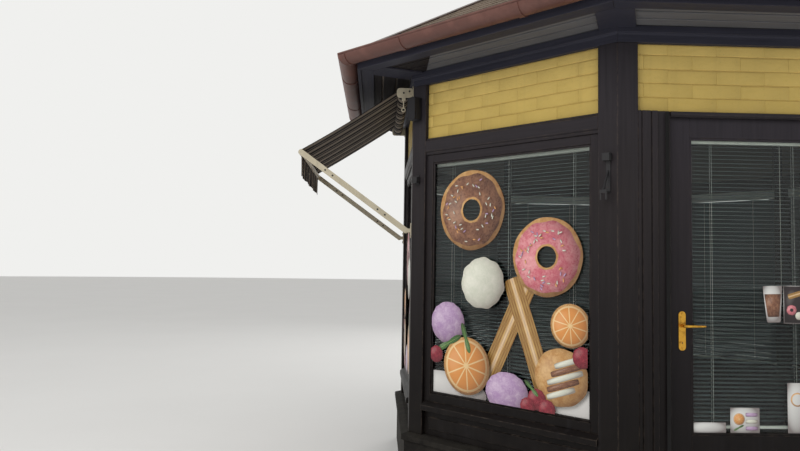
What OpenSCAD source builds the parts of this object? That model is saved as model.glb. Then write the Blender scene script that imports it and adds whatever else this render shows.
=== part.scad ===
// Eight-sided street kiosk: timber frame on a low plinth, painted brick frieze,
// boarded eaves with a half-round gutter, a glazed door and a drop-arm awning.
// Millimetres, +Z up. Origin: centre of the plan at ground level.
// The door faces -Y. Seen from above, the sides are numbered clockwise from it.

/* [Plan] */
// Length of one side of the octagon, measured over the post faces
side = 1440; // [1200:10:1900]
// Width of each face of a corner post
post_face = 111; // [90:1:150]
// Depth of a corner post behind its faces
post_depth = 105; // [80:1:110]
// Open joint left between mitred runs that meet on a corner
mitre_gap = 1; // [0.6:0.1:3]
// Joiner's gap where one piece is fixed against another
touch = 0.05; // [0.02:0.01:0.2]

/* [Base] */
// Height of the floor above the ground
floor_h = 150; // [100:5:220]
// Height of the plinth masonry above the ground
plinth_h = 355; // [260:5:420]
// Thickness of the plinth wall
plinth_t = 160; // [140:5:200]
// Distance the plinth stands out from the post faces
plinth_proud = 30; // [10:1:60]
// Thickness of the timber ledge on the plinth
ledge_t = 45; // [30:1:70]
// Distance the ledge nose stands out from the plinth
ledge_nose = 20; // [10:1:40]
// Fall of the ledge nose
ledge_fall = 12; // [5:1:20]

/* [Windows] */
// Height of the panel board under a window
panel_h = 160; // [120:5:260]
// Thickness of the panel board under a window
panel_t = 45; // [30:1:60]
// Width of the flat margin round the raised field of a panel
panel_margin = 42; // [25:1:60]
// Height that the field stands out of its panel
field_rise = 10; // [5:1:18]
// Height of the window sill
sill_h = 58; // [45:1:80]
// Face width of the sash members
sash_w = 52; // [40:1:70]
// Thickness of the sash members
sash_t = 45; // [38:1:55]
// Setback of the sash behind the post faces
sash_back = 20; // [10:1:30]
// Height of the window glass
window_glass_h = 1487; // [1200:1:1600]
// Thickness of all the glass
glass_t = 6; // [4:1:10]
// Gap between the sash and the blind behind it
blind_gap = 4; // [2:1:10]
// Depth of the blind's headrail
headrail_d = 28; // [20:1:40]
// Height of the blind's headrail
headrail_h = 58; // [25:1:70]
// Thickness of the blind
blind_t = 8; // [4:1:12]
// Height of the blind's hem above the bottom rail's foot
hem_h = 40; // [10:5:80]
// Height of the rail over a window
transom_h = 109; // [80:1:140]

/* [Frieze and eaves] */
// Height of the brick panels over the openings
frieze_h = 361; // [280:1:450]
// Thickness of the brick panels
frieze_t = 120; // [100:5:140]
// Setback of the brick behind the post faces
frieze_back = 28; // [15:1:40]
// Height of the ring beam over the brick
beam_h = 86; // [70:1:120]
// Distance the ring beam's moulding stands out from the post faces
beam_proud = 14; // [8:1:25]
// Thickness of the soffit boards
soffit_t = 18; // [14:1:25]
// Distance from the post faces to the back of the fascia
eaves_reach = 353; // [300:1:450]
// Width of the dark outer board of the soffit
eaves_board_w = 84; // [60:1:140]
// Thickness of the cover boards under the soffit
cover_t = 12; // [8:1:20]
// Width of the cover boards on the soffit corners
cover_w = 190; // [120:5:220]
// Height of the fascia
fascia_h = 100; // [80:5:140]
// Thickness of the fascia
fascia_t = 22; // [18:1:30]
// Drop of the fascia below the soffit boards
fascia_drop = 20; // [14:1:35]
// Thickness of the ceiling boards
ceiling_t = 20; // [15:1:30]

/* [Gutter] */
// Outside radius of the half-round gutter
gutter_r = 62; // [50:1:75]
// Wall of the gutter
gutter_wall = 3; // [2:0.5:4]
// Radius of the rolled front edge
gutter_bead = 7; // [5:0.5:9]
// Distance of the gutter rim below the fascia top
gutter_below = 16; // [10:1:25]
// Distance from a side's middle to its gutter straps
strap_x = 410; // [200:10:560]
// Width of the straps and of the corner collars
strap_w = 34; // [20:1:50]
// Thickness of the straps and collars
strap_t = 4; // [3:0.5:6]
// Outside radius of the downpipe
pipe_r = 38; // [30:1:50]
// Distance from the post faces to the downpipe's centre
pipe_out = 100; // [95:1:140]
// Distance of the downpipe from the middle of the back
pipe_x = 660; // [620:5:700]
// Height where the downpipe ends above the ground
pipe_foot = 120; // [80:5:200]

/* [Roof] */
// Slope of the roof
pitch = 30; // [22:1:40]
// Thickness of the roof boards and shingles together
roof_t = 30; // [24:1:60]
// Distance the roof runs past the fascia, over the gutter
roof_over = 36; // [20:1:50]
// Width of each wing of a hip cover
hip_wing = 95; // [60:5:140]
// Thickness of a hip cover
hip_t = 6; // [3:1:12]
// Outside radius of the cap on the roof's point
cap_r = 190; // [140:5:260]

/* [Door] */
// Clear width between the lips of the door frame
door_clear = 860; // [780:5:920]
// Width of the frame's lip over the edge of the leaf
door_lap = 10; // [8:1:14]
// Gap round the door leaf
door_gap = 5; // [5:0.5:8]
// Gap between the door leaf and the floor
door_floor_gap = 6; // [5:1:12]
// Setback of the frame's lip behind the post faces
lip_back = 12; // [6:1:20]
// Thickness of the frame's lip
lip_t = 31; // [24:1:40]
// Height of the lip over the door
head_h = 27; // [22:1:60]
// Thickness of the door leaf
leaf_t = 44; // [38:1:55]
// Width of the door stiles
stile_w = 123; // [100:1:140]
// Height of the door's top rail
top_rail_h = 116; // [90:1:140]
// Height of the door's lock rail, under the glass
lock_rail_h = 100; // [80:1:140]
// Height of the door's bottom rail
bottom_rail_h = 140; // [100:1:180]
// Height of the door's bottom panel
kick_h = 234; // [160:1:320]
// Thickness of the door's bottom panel
kick_t = 24; // [16:1:30]
// Radius of the hinge knuckles
knuckle_r = 7; // [6:0.5:9]
// Radius of the hinge pins
hinge_pin_r = 4; // [3:0.5:5]
// Height of a hinge
hinge_h = 100; // [80:1:130]
// Thickness of a hinge plate
hinge_plate_t = 2.5; // [2:0.5:4]
// Width of a hinge plate
hinge_plate_w = 30; // [20:1:40]
// Distance of the outer hinges from the ends of the leaf
hinge_in = 180; // [120:5:260]

/* [Door handle] */
// Height of the lever above the floor
lever_h = 1044; // [950:1:1150]
// Width of the lock plate
lock_plate_w = 37; // [30:1:50]
// Height of the lock plate
lock_plate_h = 204; // [160:1:260]
// Thickness of the lock plate
lock_plate_t = 5; // [3:1:8]
// Height of the lever above the lock plate's lower end
lever_up = 129; // [90:1:150]
// Distance of the lever's axis from the edge of the leaf
backset = 75; // [60:1:90]
// Distance of the key cylinder below the lever
key_down = 88; // [70:1:100]
// Radius of the lever's neck
neck_r = 9; // [7:0.5:11]
// Radius of the spindle in the door
spindle_r = 6; // [5:0.5:8]
// Distance from the lock plate to the middle of the lever
lever_out = 42; // [35:1:60]
// Length of the lever
lever_len = 110; // [90:1:130]
// Radius of the lever's grip
lever_r = 8.5; // [7:0.5:11]
// Radius of the lever at its tip
lever_tip_r = 5; // [4:0.5:7]

/* [Awning] */
// Distance of the arms from the corners of their bay
arm_in = 65; // [50:1:75]
// Thickness of an arm
arm_t = 10; // [6:1:14]
// Width of an arm
arm_w = 38; // [28:1:45]
// Drop of the arm pivots below the roller
pivot_drop = 932; // [900:1:1100]
// Distance of the arm pivots from the post faces
pivot_out = 36; // [30:1:50]
// Length of an arm between its pins
arm_len = 882; // [800:1:884]
// Angle of the arms above the horizontal
arm_angle = 35.9; // [20:0.1:45]
// Radius of the pivot pins
pin_r = 6; // [5:0.5:8]
// Radial clearance of a pin in its bore
pin_play = 0.06; // [0.02:0.01:0.1]
// Radius of the front bar
bar_r = 18; // [14:1:24]
// Gap between an arm and what stands beside it
arm_gap = 5.5; // [5:0.5:8]
// Radius of the roller with its wound cloth
roll_r = 40; // [34:1:44]
// Distance of the roller's axis from the post faces
roller_out = 65; // [60:1:75]
// Drop of the roller's axis below the soffit
roller_drop = 115; // [110:1:125]
// Radius of the roller's spindle
roller_pin_r = 14; // [12:1:16]
// Thickness of the bracket plates
bracket_t = 6; // [4:1:8]
// Height of the bracket plates
bracket_h = 66; // [60:1:70]
// Reach of the bracket plates from the post faces
bracket_reach = 112; // [106:1:125]
// Width of the bracket plates' feet on the posts
bracket_foot_w = 56; // [40:1:60]
// Height of the bracket plates' feet on the posts
bracket_foot_h = 80; // [70:1:90]
// Drop of the crank eye below the bracket plate
eye_drop = 59; // [40:1:80]
// Thickness of the pivot ears
ear_t = 5; // [4:1:8]
// Radius of the pivot ears
ear_r = 13; // [10:1:16]
// Thickness of the pivot plates
pivot_plate_t = 6; // [4:1:8]
// Radius of the round ends of the pivot plates
pivot_plate_r = 15; // [12:1:18]
// Distance between the centres of the pivot plates' round ends
pivot_plate_h = 72; // [60:1:90]
// Distance of the cloth's edges from the ends of the front bar
cloth_margin = 12.5; // [8:0.5:40]
// Thickness of the cloth
cloth_t = 3; // [2:0.5:4]
// Drop of the valance below the front bar
valance_h = 140; // [50:5:200]
// Clearance between cloth and metal
cloth_clear = 0.3; // [0.2:0.1:1]

/* [Small fittings] */
// Length of the iron hook brackets on the front posts
hook_len = 252; // [200:1:280]
// Height of the top of the hook brackets above the ground
hook_top = 2094; // [2050:1:2110]
// Distance of the hook brackets from the post's corner
hook_in = 50; // [40:1:60]
// Width of the small wall box
box_w = 70; // [50:1:80]
// Height of the small wall box
box_h = 150; // [100:1:180]
// Depth of the small wall box
box_d = 70; // [40:1:90]
// Drop of the small wall box's top below the soffit boards
box_drop = 171; // [130:1:200]

/* [Hidden] */
$fn = 48;

sides = 8;
half_turn = 180 / sides;
apothem = side / 2 / tan(half_turn);
corner_r = apothem / cos(half_turn);
wall_half = side / 2 - post_face;
far = 2 * apothem;
skin = 0.3;

base_z = plinth_h + ledge_t;
sill_z = base_z + panel_h;
sash_z = sill_z + sill_h;
window_glass_z = sash_z + sash_w;
sash_top = window_glass_z + window_glass_h + sash_w;
frieze_z = sash_top + transom_h;
beam_z = frieze_z + frieze_h;
soffit_z = beam_z + beam_h;
beam_back = frieze_back + frieze_t;
panel_back = 30;
sill_back = 110;
glass_half = wall_half - sash_w;
glass_back = sash_back + (sash_t - glass_t) / 2;
blind_back = sash_back + sash_t + blind_gap;
bay_half = wall_half - touch;

fascia_z = soffit_z - fascia_drop;
fascia_top = fascia_z + fascia_h;
fascia_out = eaves_reach + fascia_t;
gutter_out = fascia_out + gutter_r;
gutter_z = fascia_top - gutter_below;
roof_out = fascia_out + roof_over;
roof_hole = 60;
roof_rise = tan(pitch);
roof_lift = roof_t / cos(pitch);
apex_z = fascia_top + (fascia_out + apothem) * roof_rise + roof_lift;
hip_pitch = atan(roof_rise * cos(half_turn));
hip_fold = atan(sin(pitch) * sin(half_turn)
    / (sin(pitch) * cos(half_turn) * sin(hip_pitch) + cos(pitch) * cos(hip_pitch)));

clear_half = door_clear / 2;
leaf_half = clear_half + door_lap;
leaf_front = lip_back + lip_t + door_gap;
leaf_back = leaf_front + leaf_t;
leaf_z = floor_h + door_floor_gap;
head_z = frieze_z - head_h;
leaf_top = head_z + door_lap;
door_glass_half = leaf_half - stile_w;
kick_z = leaf_z + bottom_rail_h;
lock_rail_z = kick_z + kick_h;
door_glass_z = lock_rail_z + lock_rail_h;
door_glass_top = leaf_top - top_rail_h;
hinge_x = leaf_half + door_gap / 2;
hinge_out = -leaf_back - knuckle_r;
lever_x = -leaf_half + backset;
lever_z = floor_h + lever_h;
hinge_zs = [leaf_z + hinge_in, (leaf_z + leaf_top) / 2, leaf_top - hinge_in - hinge_h];
knuckle_h = hinge_h / 3;

arm_x = side / 2 - arm_in;
roller_z = soffit_z - roller_drop;
pivot_z = roller_z - pivot_drop;
bar_half = arm_x - arm_t / 2 - arm_gap;
cloth_half = bar_half - cloth_margin;
ear_x = arm_t / 2 + arm_gap + ear_t / 2;
bar_out = pivot_out + arm_len * cos(arm_angle);
bar_z = pivot_z + arm_len * sin(arm_angle);
cloth_run = norm([bar_out - roller_out, bar_z - roller_z]);
cloth_dir = atan2(bar_z - roller_z, bar_out - roller_out);
cloth_lift = cloth_clear + cloth_t / 2;
cloth_turn = asin((roll_r - bar_r) / cloth_run);
cloth_slope = cloth_dir - cloth_turn;
bracket_x = arm_x + arm_t / 2 + arm_gap + ear_t + bracket_t;

timber = [0.13, 0.12, 0.13];
timber_shade = [0.09, 0.08, 0.09];
masonry = [0.24, 0.23, 0.22];
brick_yellow = [0.72, 0.6, 0.3];
board_grey = [0.32, 0.31, 0.28];
gutter_red = [0.43, 0.27, 0.23];
shingle = [0.42, 0.38, 0.34];
pane = [0.6, 0.72, 0.72, 0.4];
blind_grey = [0.7, 0.72, 0.7];
brass = [0.78, 0.62, 0.25];
steel_beige = [0.75, 0.7, 0.6];
iron = [0.12, 0.12, 0.13];
cloth_grey = [0.5, 0.5, 0.5];

// Turns what is drawn for the door side to side number i
module bay(i) {
    rotate([0, 0, -2 * half_turn * i]) children();
}

// Turns what is drawn pointing to -Y to the corner after side number i
module corner(i) {
    rotate([0, 0, -2 * half_turn * i - half_turn]) children();
}

// Octagonal prism with its flats towards the sides
module octagon(flat_r, h) {
    rotate([0, 0, half_turn]) cylinder(h = h, r = flat_r / cos(half_turn), $fn = sides);
}

// Slice of the plan that belongs to one side, less half a mitre gap at each edge
module sector() {
    nose = mitre_gap / 2 / sin(half_turn);
    half = (far - nose) * tan(half_turn);
    linear_extrude(height = 2 * apex_z) polygon([[0, -nose], [half, -far], [-half, -far]]);
}

// Extrudes an outline along a side. Outline x is the distance out from the post
// faces and outline y is the height.
module along(x, length) {
    translate([x, -apothem, 0])
        rotate([90, 0, -90])
            linear_extrude(height = length, center = true) children();
}

// The same, run to both corners and mitred there
module mitred() {
    intersection() {
        along(0, 2 * far) children();
        sector();
    }
}

// Straight board: centre x, width, setback of its front, thickness, foot, height
module board(x, w, back, t, z, h) {
    translate([x - w / 2, -apothem + back, z]) cube([w, t, h]);
}

// Outline of a bar with round ends, from the origin along +x
module round_bar(length, w) {
    translate([0, -w / 2]) square([length, w]);
    circle(d = w);
    translate([length, 0]) circle(d = w);
}

// Round bar along x between two x values, at a distance out and a height
module rod(x0, x1, out, z, r) {
    translate([x0, -apothem - out, z]) rotate([0, 90, 0]) cylinder(h = x1 - x0, r = r);
}

module plinth_outline() {
    translate([plinth_proud - plinth_t, 0]) square([plinth_t, plinth_h]);
}

module ledge_outline() {
    nose = plinth_proud + ledge_nose;
    back = plinth_proud - plinth_t;
    polygon([[back, plinth_h], [nose, plinth_h], [nose, base_z - ledge_fall], [0, base_z], [back, base_z]]);
}

// Cuts a base run back to the posts at the door
module door_break(i) {
    difference() {
        children();
        if (i == 0) board(0, 2 * wall_half, -2 * plinth_t, 4 * plinth_t, -1, base_z + 2);
    }
}

module plinth() {
    color(masonry)
        for (i = [0 : sides - 1])
            bay(i) door_break(i) mitred() plinth_outline();
}

module plinth_ledge() {
    color(timber_shade)
        for (i = [0 : sides - 1])
            bay(i) door_break(i) mitred() ledge_outline();
}

module floor_slab() {
    color(board_grey) octagon(apothem + plinth_proud - plinth_t - touch, floor_h);
}

module door_threshold() {
    nose = plinth_proud + ledge_nose;
    back = plinth_proud - plinth_t;
    color(masonry)
        along(0, 2 * bay_half)
            polygon([[back, 0], [plinth_proud, 0], [plinth_proud, floor_h - ledge_t], [nose, floor_h - ledge_t],
                [nose, floor_h - ledge_fall], [0, floor_h], [back, floor_h]]);
}

module corner_post() {
    c = cos(half_turn);
    s = sin(half_turn);
    edge = [post_face * c, -corner_r + post_face * s];
    inner = edge + post_depth * [-s, c];
    linear_extrude(height = beam_z - base_z - touch)
        polygon([[0, -corner_r], edge, inner, [-inner.x, inner.y], [-edge.x, edge.y]]);
}

module corner_posts() {
    color(timber)
        for (i = [0 : sides - 1])
            corner(i) translate([0, 0, base_z]) corner_post();
}

module lower_panels() {
    color(timber)
        for (i = [1 : sides - 1])
            bay(i) {
                board(0, 2 * bay_half, panel_back, panel_t, base_z, panel_h);
                board(0, 2 * (wall_half - panel_margin), panel_back - field_rise, field_rise + 1,
                    base_z + panel_margin, panel_h - 2 * panel_margin);
            }
}

module sill_outline() {
    polygon([[-sill_back, sill_z], [beam_proud, sill_z], [beam_proud, sash_z - 26],
        [-sash_back, sash_z], [-sill_back, sash_z]]);
}

module window_sills() {
    color(timber)
        for (i = [1 : sides - 1])
            bay(i) along(0, 2 * bay_half) sill_outline();
}

module sash_stiles() {
    color(timber)
        for (i = [1 : sides - 1], x = [-1, 1])
            bay(i)
                board(x * (glass_half + bay_half) / 2, bay_half - glass_half, sash_back, sash_t, sash_z,
                    sash_top - sash_z);
}

module sash_rails() {
    color(timber)
        for (i = [1 : sides - 1], z = [sash_z, sash_top - sash_w])
            bay(i) board(0, 2 * glass_half, sash_back, sash_t, z, sash_w);
}

module window_glass() {
    color(pane)
        for (i = [1 : sides - 1])
            bay(i) board(0, 2 * glass_half, glass_back, glass_t, window_glass_z, window_glass_h);
}

module blind_headrails() {
    color(blind_grey)
        for (i = [1 : sides - 1])
            bay(i) board(0, 2 * (wall_half - 4), blind_back, headrail_d, sash_top - headrail_h, headrail_h);
}

module window_blinds() {
    hem = sash_z + hem_h;
    color(blind_grey)
        for (i = [1 : sides - 1])
            bay(i)
                board(0, 2 * (wall_half - 8), blind_back + (headrail_d - blind_t) / 2, blind_t,
                    hem, sash_top - headrail_h - skin - hem);
}

module transom_outline() {
    polygon([[-beam_back, sash_top], [-10, sash_top], [-10, sash_top + 14], [0, sash_top + 24],
        [0, frieze_z - 18], [-12, frieze_z - 8], [-12, frieze_z], [-beam_back, frieze_z]]);
}

module transom_rails() {
    color(timber)
        for (i = [1 : sides - 1])
            bay(i) along(0, 2 * bay_half) transom_outline();
}

module brick_frieze() {
    color(brick_yellow)
        for (i = [0 : sides - 1])
            bay(i) board(0, 2 * bay_half, frieze_back, frieze_t, frieze_z, frieze_h);
}

module beam_outline() {
    cove = 16;
    difference() {
        translate([-beam_back, beam_z]) square([beam_back + beam_proud, beam_h]);
        translate([beam_proud, beam_z]) square([2 * beam_proud, 2 * (beam_h - 49)], center = true);
        translate([beam_proud, beam_z + beam_h - 49]) circle(r = cove - 2);
    }
}

module ring_beam() {
    color(timber)
        for (i = [0 : sides - 1])
            bay(i) mitred() beam_outline();
}

// Plan outline of the right door jamb: three beads, then the lip over the leaf
module jamb_outline() {
    lip = clear_half;
    pocket = leaf_half + door_gap;
    polygon([[bay_half, 0], [lip + 164, 0], [lip + 164, -8], [lip + 156, -8], [lip + 156, 0],
        [lip + 113, 0], [lip + 113, -8], [lip + 105, -8], [lip + 105, 0], [lip + 76, 0],
        [lip + 72, -lip_back], [lip + 10, -lip_back], [lip, -lip_back - 10], [lip, -lip_back - lip_t],
        [pocket, -lip_back - lip_t], [pocket, -leaf_back], [bay_half, -leaf_back]]);
}

module door_jambs() {
    color(timber)
        for (m = [0, 1])
            mirror([m, 0, 0])
                translate([0, -apothem, floor_h])
                    mirror([0, 1, 0])
                        linear_extrude(height = frieze_z - floor_h) jamb_outline();
}

module door_head() {
    pocket = leaf_half + door_gap;
    color(timber) {
        along(0, door_clear)
            polygon([[-lip_back - lip_t, head_z], [-lip_back - 10, head_z], [-lip_back, head_z + 10],
                [-lip_back, frieze_z], [-lip_back - lip_t, frieze_z]]);
        board(0, 2 * pocket, lip_back + lip_t, leaf_t + door_gap, leaf_top + door_gap,
            frieze_z - leaf_top - door_gap);
    }
}

module soffit() {
    inner = 60;
    color(board_grey)
        for (i = [0 : sides - 1])
            bay(i) mitred() translate([-inner, soffit_z]) square([eaves_reach + inner, soffit_t]);
}

module eaves_boards() {
    color(timber_shade)
        for (i = [0 : sides - 1])
            bay(i)
                mitred()
                    translate([eaves_reach - eaves_board_w, soffit_z - cover_t - touch])
                        square([eaves_board_w, cover_t]);
}

module soffit_covers() {
    color(timber_shade)
        for (i = [0 : sides - 1])
            corner(i)
                difference() {
                    intersection() {
                        translate([-cover_w / 2, -far, soffit_z - cover_t - touch])
                            cube([cover_w, far, cover_t]);
                        rotate([0, 0, half_turn])
                            octagon(apothem + eaves_reach - eaves_board_w - touch, 2 * soffit_z);
                    }
                    rotate([0, 0, half_turn]) octagon(apothem + beam_proud + touch, 2 * soffit_z);
                }
}

module fascia() {
    color(timber)
        for (i = [0 : sides - 1])
            bay(i) mitred() translate([eaves_reach, fascia_z]) square([fascia_t, fascia_h]);
}

// Half-round channel with a rolled edge at the front
module gutter_outline() {
    translate([gutter_out, gutter_z]) {
        difference() {
            circle(r = gutter_r);
            circle(r = gutter_r - gutter_wall);
            translate([-2 * gutter_r, 0]) square([4 * gutter_r, 2 * gutter_r]);
        }
        translate([gutter_r - gutter_wall / 2, 0])
            difference() {
                circle(r = gutter_bead);
                circle(r = gutter_bead - gutter_wall / 2);
            }
    }
}

module gutter() {
    color(gutter_red)
        for (i = [0 : sides - 1])
            bay(i) mitred() gutter_outline();
}

// Band round the outside of the gutter, from the fascia to the front edge
module strap_outline() {
    reach = gutter_r + skin;
    translate([gutter_out, gutter_z])
        difference() {
            circle(r = reach + strap_t);
            circle(r = reach);
            translate([-2 * reach, -gutter_bead - 3]) square([4 * reach, 2 * reach]);
            translate([-2 * gutter_r - touch, -2 * reach]) square([gutter_r + 2 * touch, 4 * reach]);
        }
}

module gutter_straps() {
    run = (apothem + gutter_out) * tan(half_turn);
    color(gutter_red)
        for (i = [0 : sides - 1])
            bay(i) {
                for (x = [-strap_x, strap_x])
                    along(x, strap_w) strap_outline();
                for (x = [-1, 1])
                    intersection() {
                        mitred() strap_outline();
                        board(x * (run - strap_w / 2 + gutter_r), strap_w + 2 * gutter_r,
                            -2 * fascia_out, 2 * fascia_out, fascia_z - fascia_h, 4 * fascia_h);
                    }
            }
}

// Straight tube between two points [out, z] on the back side, with a ball at its end
module pipe_leg(a, b) {
    run = b - a;
    translate([pipe_x, -apothem - a.x, a.y])
        rotate([atan2(run.x, run.y), 0, 0])
            cylinder(h = norm(run), r = pipe_r);
    translate([pipe_x, -apothem - b.x, b.y]) sphere(r = pipe_r + 2);
}

module downpipe() {
    outlet = [gutter_out, gutter_z - gutter_r - skin];
    neck = [gutter_out, fascia_z - 60];
    elbow = [pipe_out, fascia_z - 60 - (gutter_out - pipe_out) * 0.7];
    foot = [pipe_out, pipe_foot + pipe_r];
    color(gutter_red)
        bay(4) {
            pipe_leg(outlet, neck);
            pipe_leg(neck, elbow);
            pipe_leg(elbow, foot);
            for (z = [base_z + 5 * pipe_r, (base_z + elbow.y) / 2, elbow.y - 4 * pipe_r])
                translate([pipe_x, -apothem, z]) {
                    translate([0, -pipe_out, 0]) cylinder(h = 24, r = pipe_r + 4);
                    translate([-9, -pipe_out, 0]) cube([18, pipe_out, 24]);
                }
        }
}

module ceiling() {
    color(board_grey)
        translate([0, 0, soffit_z - ceiling_t]) octagon(apothem - beam_back - touch, ceiling_t);
}

module roof_panels() {
    top_out = -apothem + roof_hole;
    eave_z = fascia_top - roof_over * roof_rise;
    top_z = fascia_top + (fascia_out - top_out) * roof_rise;
    color(shingle)
        for (i = [0 : sides - 1])
            bay(i)
                mitred()
                    polygon([[roof_out, eave_z], [roof_out, eave_z + roof_lift],
                        [top_out, top_z + roof_lift], [top_out, top_z]]);
}

// Folded cover that lies on the two slopes beside a hip
module hip_covers() {
    drop = hip_wing * tan(hip_fold);
    color(timber_shade)
        for (i = [0 : sides - 1])
            corner(i)
                intersection() {
                    translate([0, 0, apex_z])
                        rotate([90 + hip_pitch, 0, 0])
                            translate([0, 0, 1.6 * roof_hole])
                                linear_extrude(height = 2 * far)
                                    polygon([[0, skin], [hip_wing, skin - drop], [hip_wing, skin - drop + hip_t],
                                        [0, skin + hip_t], [-hip_wing, skin - drop + hip_t],
                                        [-hip_wing, skin - drop]]);
                    rotate([0, 0, half_turn]) octagon(apothem + roof_out, 2 * apex_z);
                    sector();
                }
}

// Turned cap that rests on the hip covers round the roof's point
module roof_cap() {
    lift = (hip_t + 2 * skin) / cos(hip_pitch);
    fall = tan(hip_pitch);
    base = apex_z + lift;
    color(timber_shade)
        rotate_extrude()
            polygon([[0, base], [cap_r, base - cap_r * fall], [cap_r, base - cap_r * fall + 14],
                [80, base - 80 * fall + 20], [52, base + 20], [46, base + 46], [0, base + 66]]);
}

// Front and thickness of the leaf's members
module leaf_board(x, w, z, h) {
    board(x, w, leaf_front, leaf_t, z, h);
}

module door_stiles() {
    color(timber)
        difference() {
            for (x = [-1, 1])
                leaf_board(x * (leaf_half - stile_w / 2), stile_w, leaf_z, leaf_top - leaf_z);
            translate([lever_x, -apothem, lever_z])
                rotate([-90, 0, 0])
                    cylinder(h = 2 * leaf_back, r = spindle_r + 4);
        }
}

module door_rails() {
    w = 2 * door_glass_half;
    color(timber) {
        leaf_board(0, w, leaf_z, bottom_rail_h);
        leaf_board(0, w, lock_rail_z, lock_rail_h);
        leaf_board(0, w, door_glass_top, top_rail_h);
    }
}

module door_panel() {
    w = 2 * door_glass_half;
    inset = (leaf_t - kick_t) / 2;
    color(timber) {
        board(0, w, leaf_front + inset, kick_t, kick_z, kick_h);
        board(0, w - 2 * panel_margin, leaf_front + inset - 6, kick_t + 12,
            kick_z + panel_margin, kick_h - 2 * panel_margin);
    }
}

module door_glass() {
    color(pane)
        board(0, 2 * door_glass_half, leaf_front + 12, glass_t, door_glass_z, door_glass_top - door_glass_z);
}

module door_blind() {
    rail_h = 26;
    w = 2 * (door_glass_half - 4);
    hem = door_glass_z + 30;
    color(blind_grey) {
        board(0, 2 * door_glass_half, leaf_back - 24, 24, door_glass_top - rail_h, rail_h);
        board(0, w, leaf_back - 16, blind_t, hem, door_glass_top - rail_h - hem + 1);
    }
}

// Long plate with round ends, on the face of the leaf at this setback
module lock_plate(back) {
    front = -apothem + back - touch;
    translate([lever_x, front, lever_z])
        rotate([90, 0, 0])
            difference() {
                linear_extrude(height = lock_plate_t)
                    translate([0, lock_plate_w / 2 - lever_up])
                        rotate(90) round_bar(lock_plate_h - lock_plate_w, lock_plate_w);
                translate([0, 0, -1]) cylinder(h = lock_plate_t + 2, r = neck_r + skin);
            }
    translate([lever_x, front, lever_z - key_down])
        rotate([90, 0, 0])
            cylinder(h = lock_plate_t + 3, r = 8);
}

module door_lock_plates() {
    color(brass) {
        lock_plate(leaf_front);
        translate([0, 2 * (leaf_back - apothem), 0]) mirror([0, 1, 0]) lock_plate(leaf_back);
    }
}

// Lever on the side that dir points to: -1 outside, 1 inside
module lever(dir) {
    face = dir < 0 ? leaf_front : leaf_back;
    y = -apothem + face + dir * lever_out;
    translate([lever_x, -apothem + face - dir, lever_z])
        rotate([-90 * dir, 0, 0])
            cylinder(h = lever_out + 1, r = neck_r);
    translate([lever_x, y, lever_z]) sphere(r = lever_r);
    translate([lever_x, y, lever_z])
        rotate([0, 90, 0])
            cylinder(h = lever_len - lever_tip_r, r1 = lever_r, r2 = lever_tip_r);
    translate([lever_x + lever_len - lever_tip_r, y, lever_z]) sphere(r = lever_tip_r);
}

module door_handle() {
    color(brass) {
        lever(-1);
        lever(1);
        translate([lever_x, -apothem + leaf_front - 1, lever_z])
            rotate([-90, 0, 0])
                cylinder(h = leaf_t + 2, r = spindle_r);
    }
}

// One knuckle at step k of a hinge that stands on height z
module knuckle(z, k) {
    play = 0.5;
    translate([hinge_x, -apothem - hinge_out, z + k * knuckle_h + play])
        cylinder(h = knuckle_h - 2 * play, r = knuckle_r);
}

module door_hinges() {
    color(brass)
        for (z = hinge_zs)
            difference() {
                union() {
                    knuckle(z, 1);
                    board(leaf_half - hinge_plate_w / 2, hinge_plate_w, leaf_back, hinge_plate_t,
                        z + knuckle_h + 0.5, knuckle_h - 1);
                }
                translate([hinge_x, -apothem - hinge_out, z])
                    cylinder(h = hinge_h, r = hinge_pin_r + pin_play);
            }
}

module frame_hinges() {
    color(brass)
        for (z = hinge_zs) {
            for (k = [0, 2]) {
                knuckle(z, k);
                board(hinge_x + door_gap / 2 + hinge_plate_w / 2, hinge_plate_w, leaf_back, hinge_plate_t,
                    z + k * knuckle_h + 0.5, knuckle_h - 1);
            }
            translate([hinge_x, -apothem - hinge_out, z + 1])
                cylinder(h = hinge_h - 2, r = hinge_pin_r);
            board(hinge_x + door_gap / 2 + hinge_plate_w - 5, 10, leaf_back, hinge_plate_t, z + 1, hinge_h - 2);
        }
}

module awning_brackets() {
    foot = roller_z - bracket_h / 2;
    eye_r = 12;
    eye_wire = 4;
    round = bracket_h / 3;
    color(steel_beige)
        bay(2)
            for (x = [-1, 1]) {
                difference() {
                    along(x * bracket_x, bracket_t)
                        translate([0, roller_z]) {
                            translate([0, -bracket_h / 2]) square([bracket_reach - round, bracket_h]);
                            for (s = [-1, 1])
                                translate([bracket_reach - round, s * (bracket_h / 2 - round)]) circle(r = round);
                            translate([0, round - bracket_h / 2]) square([bracket_reach, bracket_h - 2 * round]);
                        }
                    rod(x * bracket_x - bracket_t, x * bracket_x + bracket_t, roller_out, roller_z,
                        roller_pin_r + pin_play);
                }
                board(x * bracket_x, bracket_foot_w, -bracket_t - touch, bracket_t,
                    roller_z - bracket_foot_h / 2, bracket_foot_h);
            }
    color(steel_beige)
        bay(2) {
            board(bracket_x, 2 * eye_r, -roller_out - eye_r, 2 * eye_r, foot - 20, 20.5);
            translate([bracket_x, -apothem - roller_out, foot - eye_drop - eye_r])
                cylinder(h = eye_drop, r = eye_wire);
            translate([bracket_x, -apothem - roller_out, foot - eye_drop - 2 * eye_r])
                rotate([0, 90, 0])
                    rotate_extrude()
                        translate([eye_r, 0]) circle(r = eye_wire);
        }
}

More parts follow.
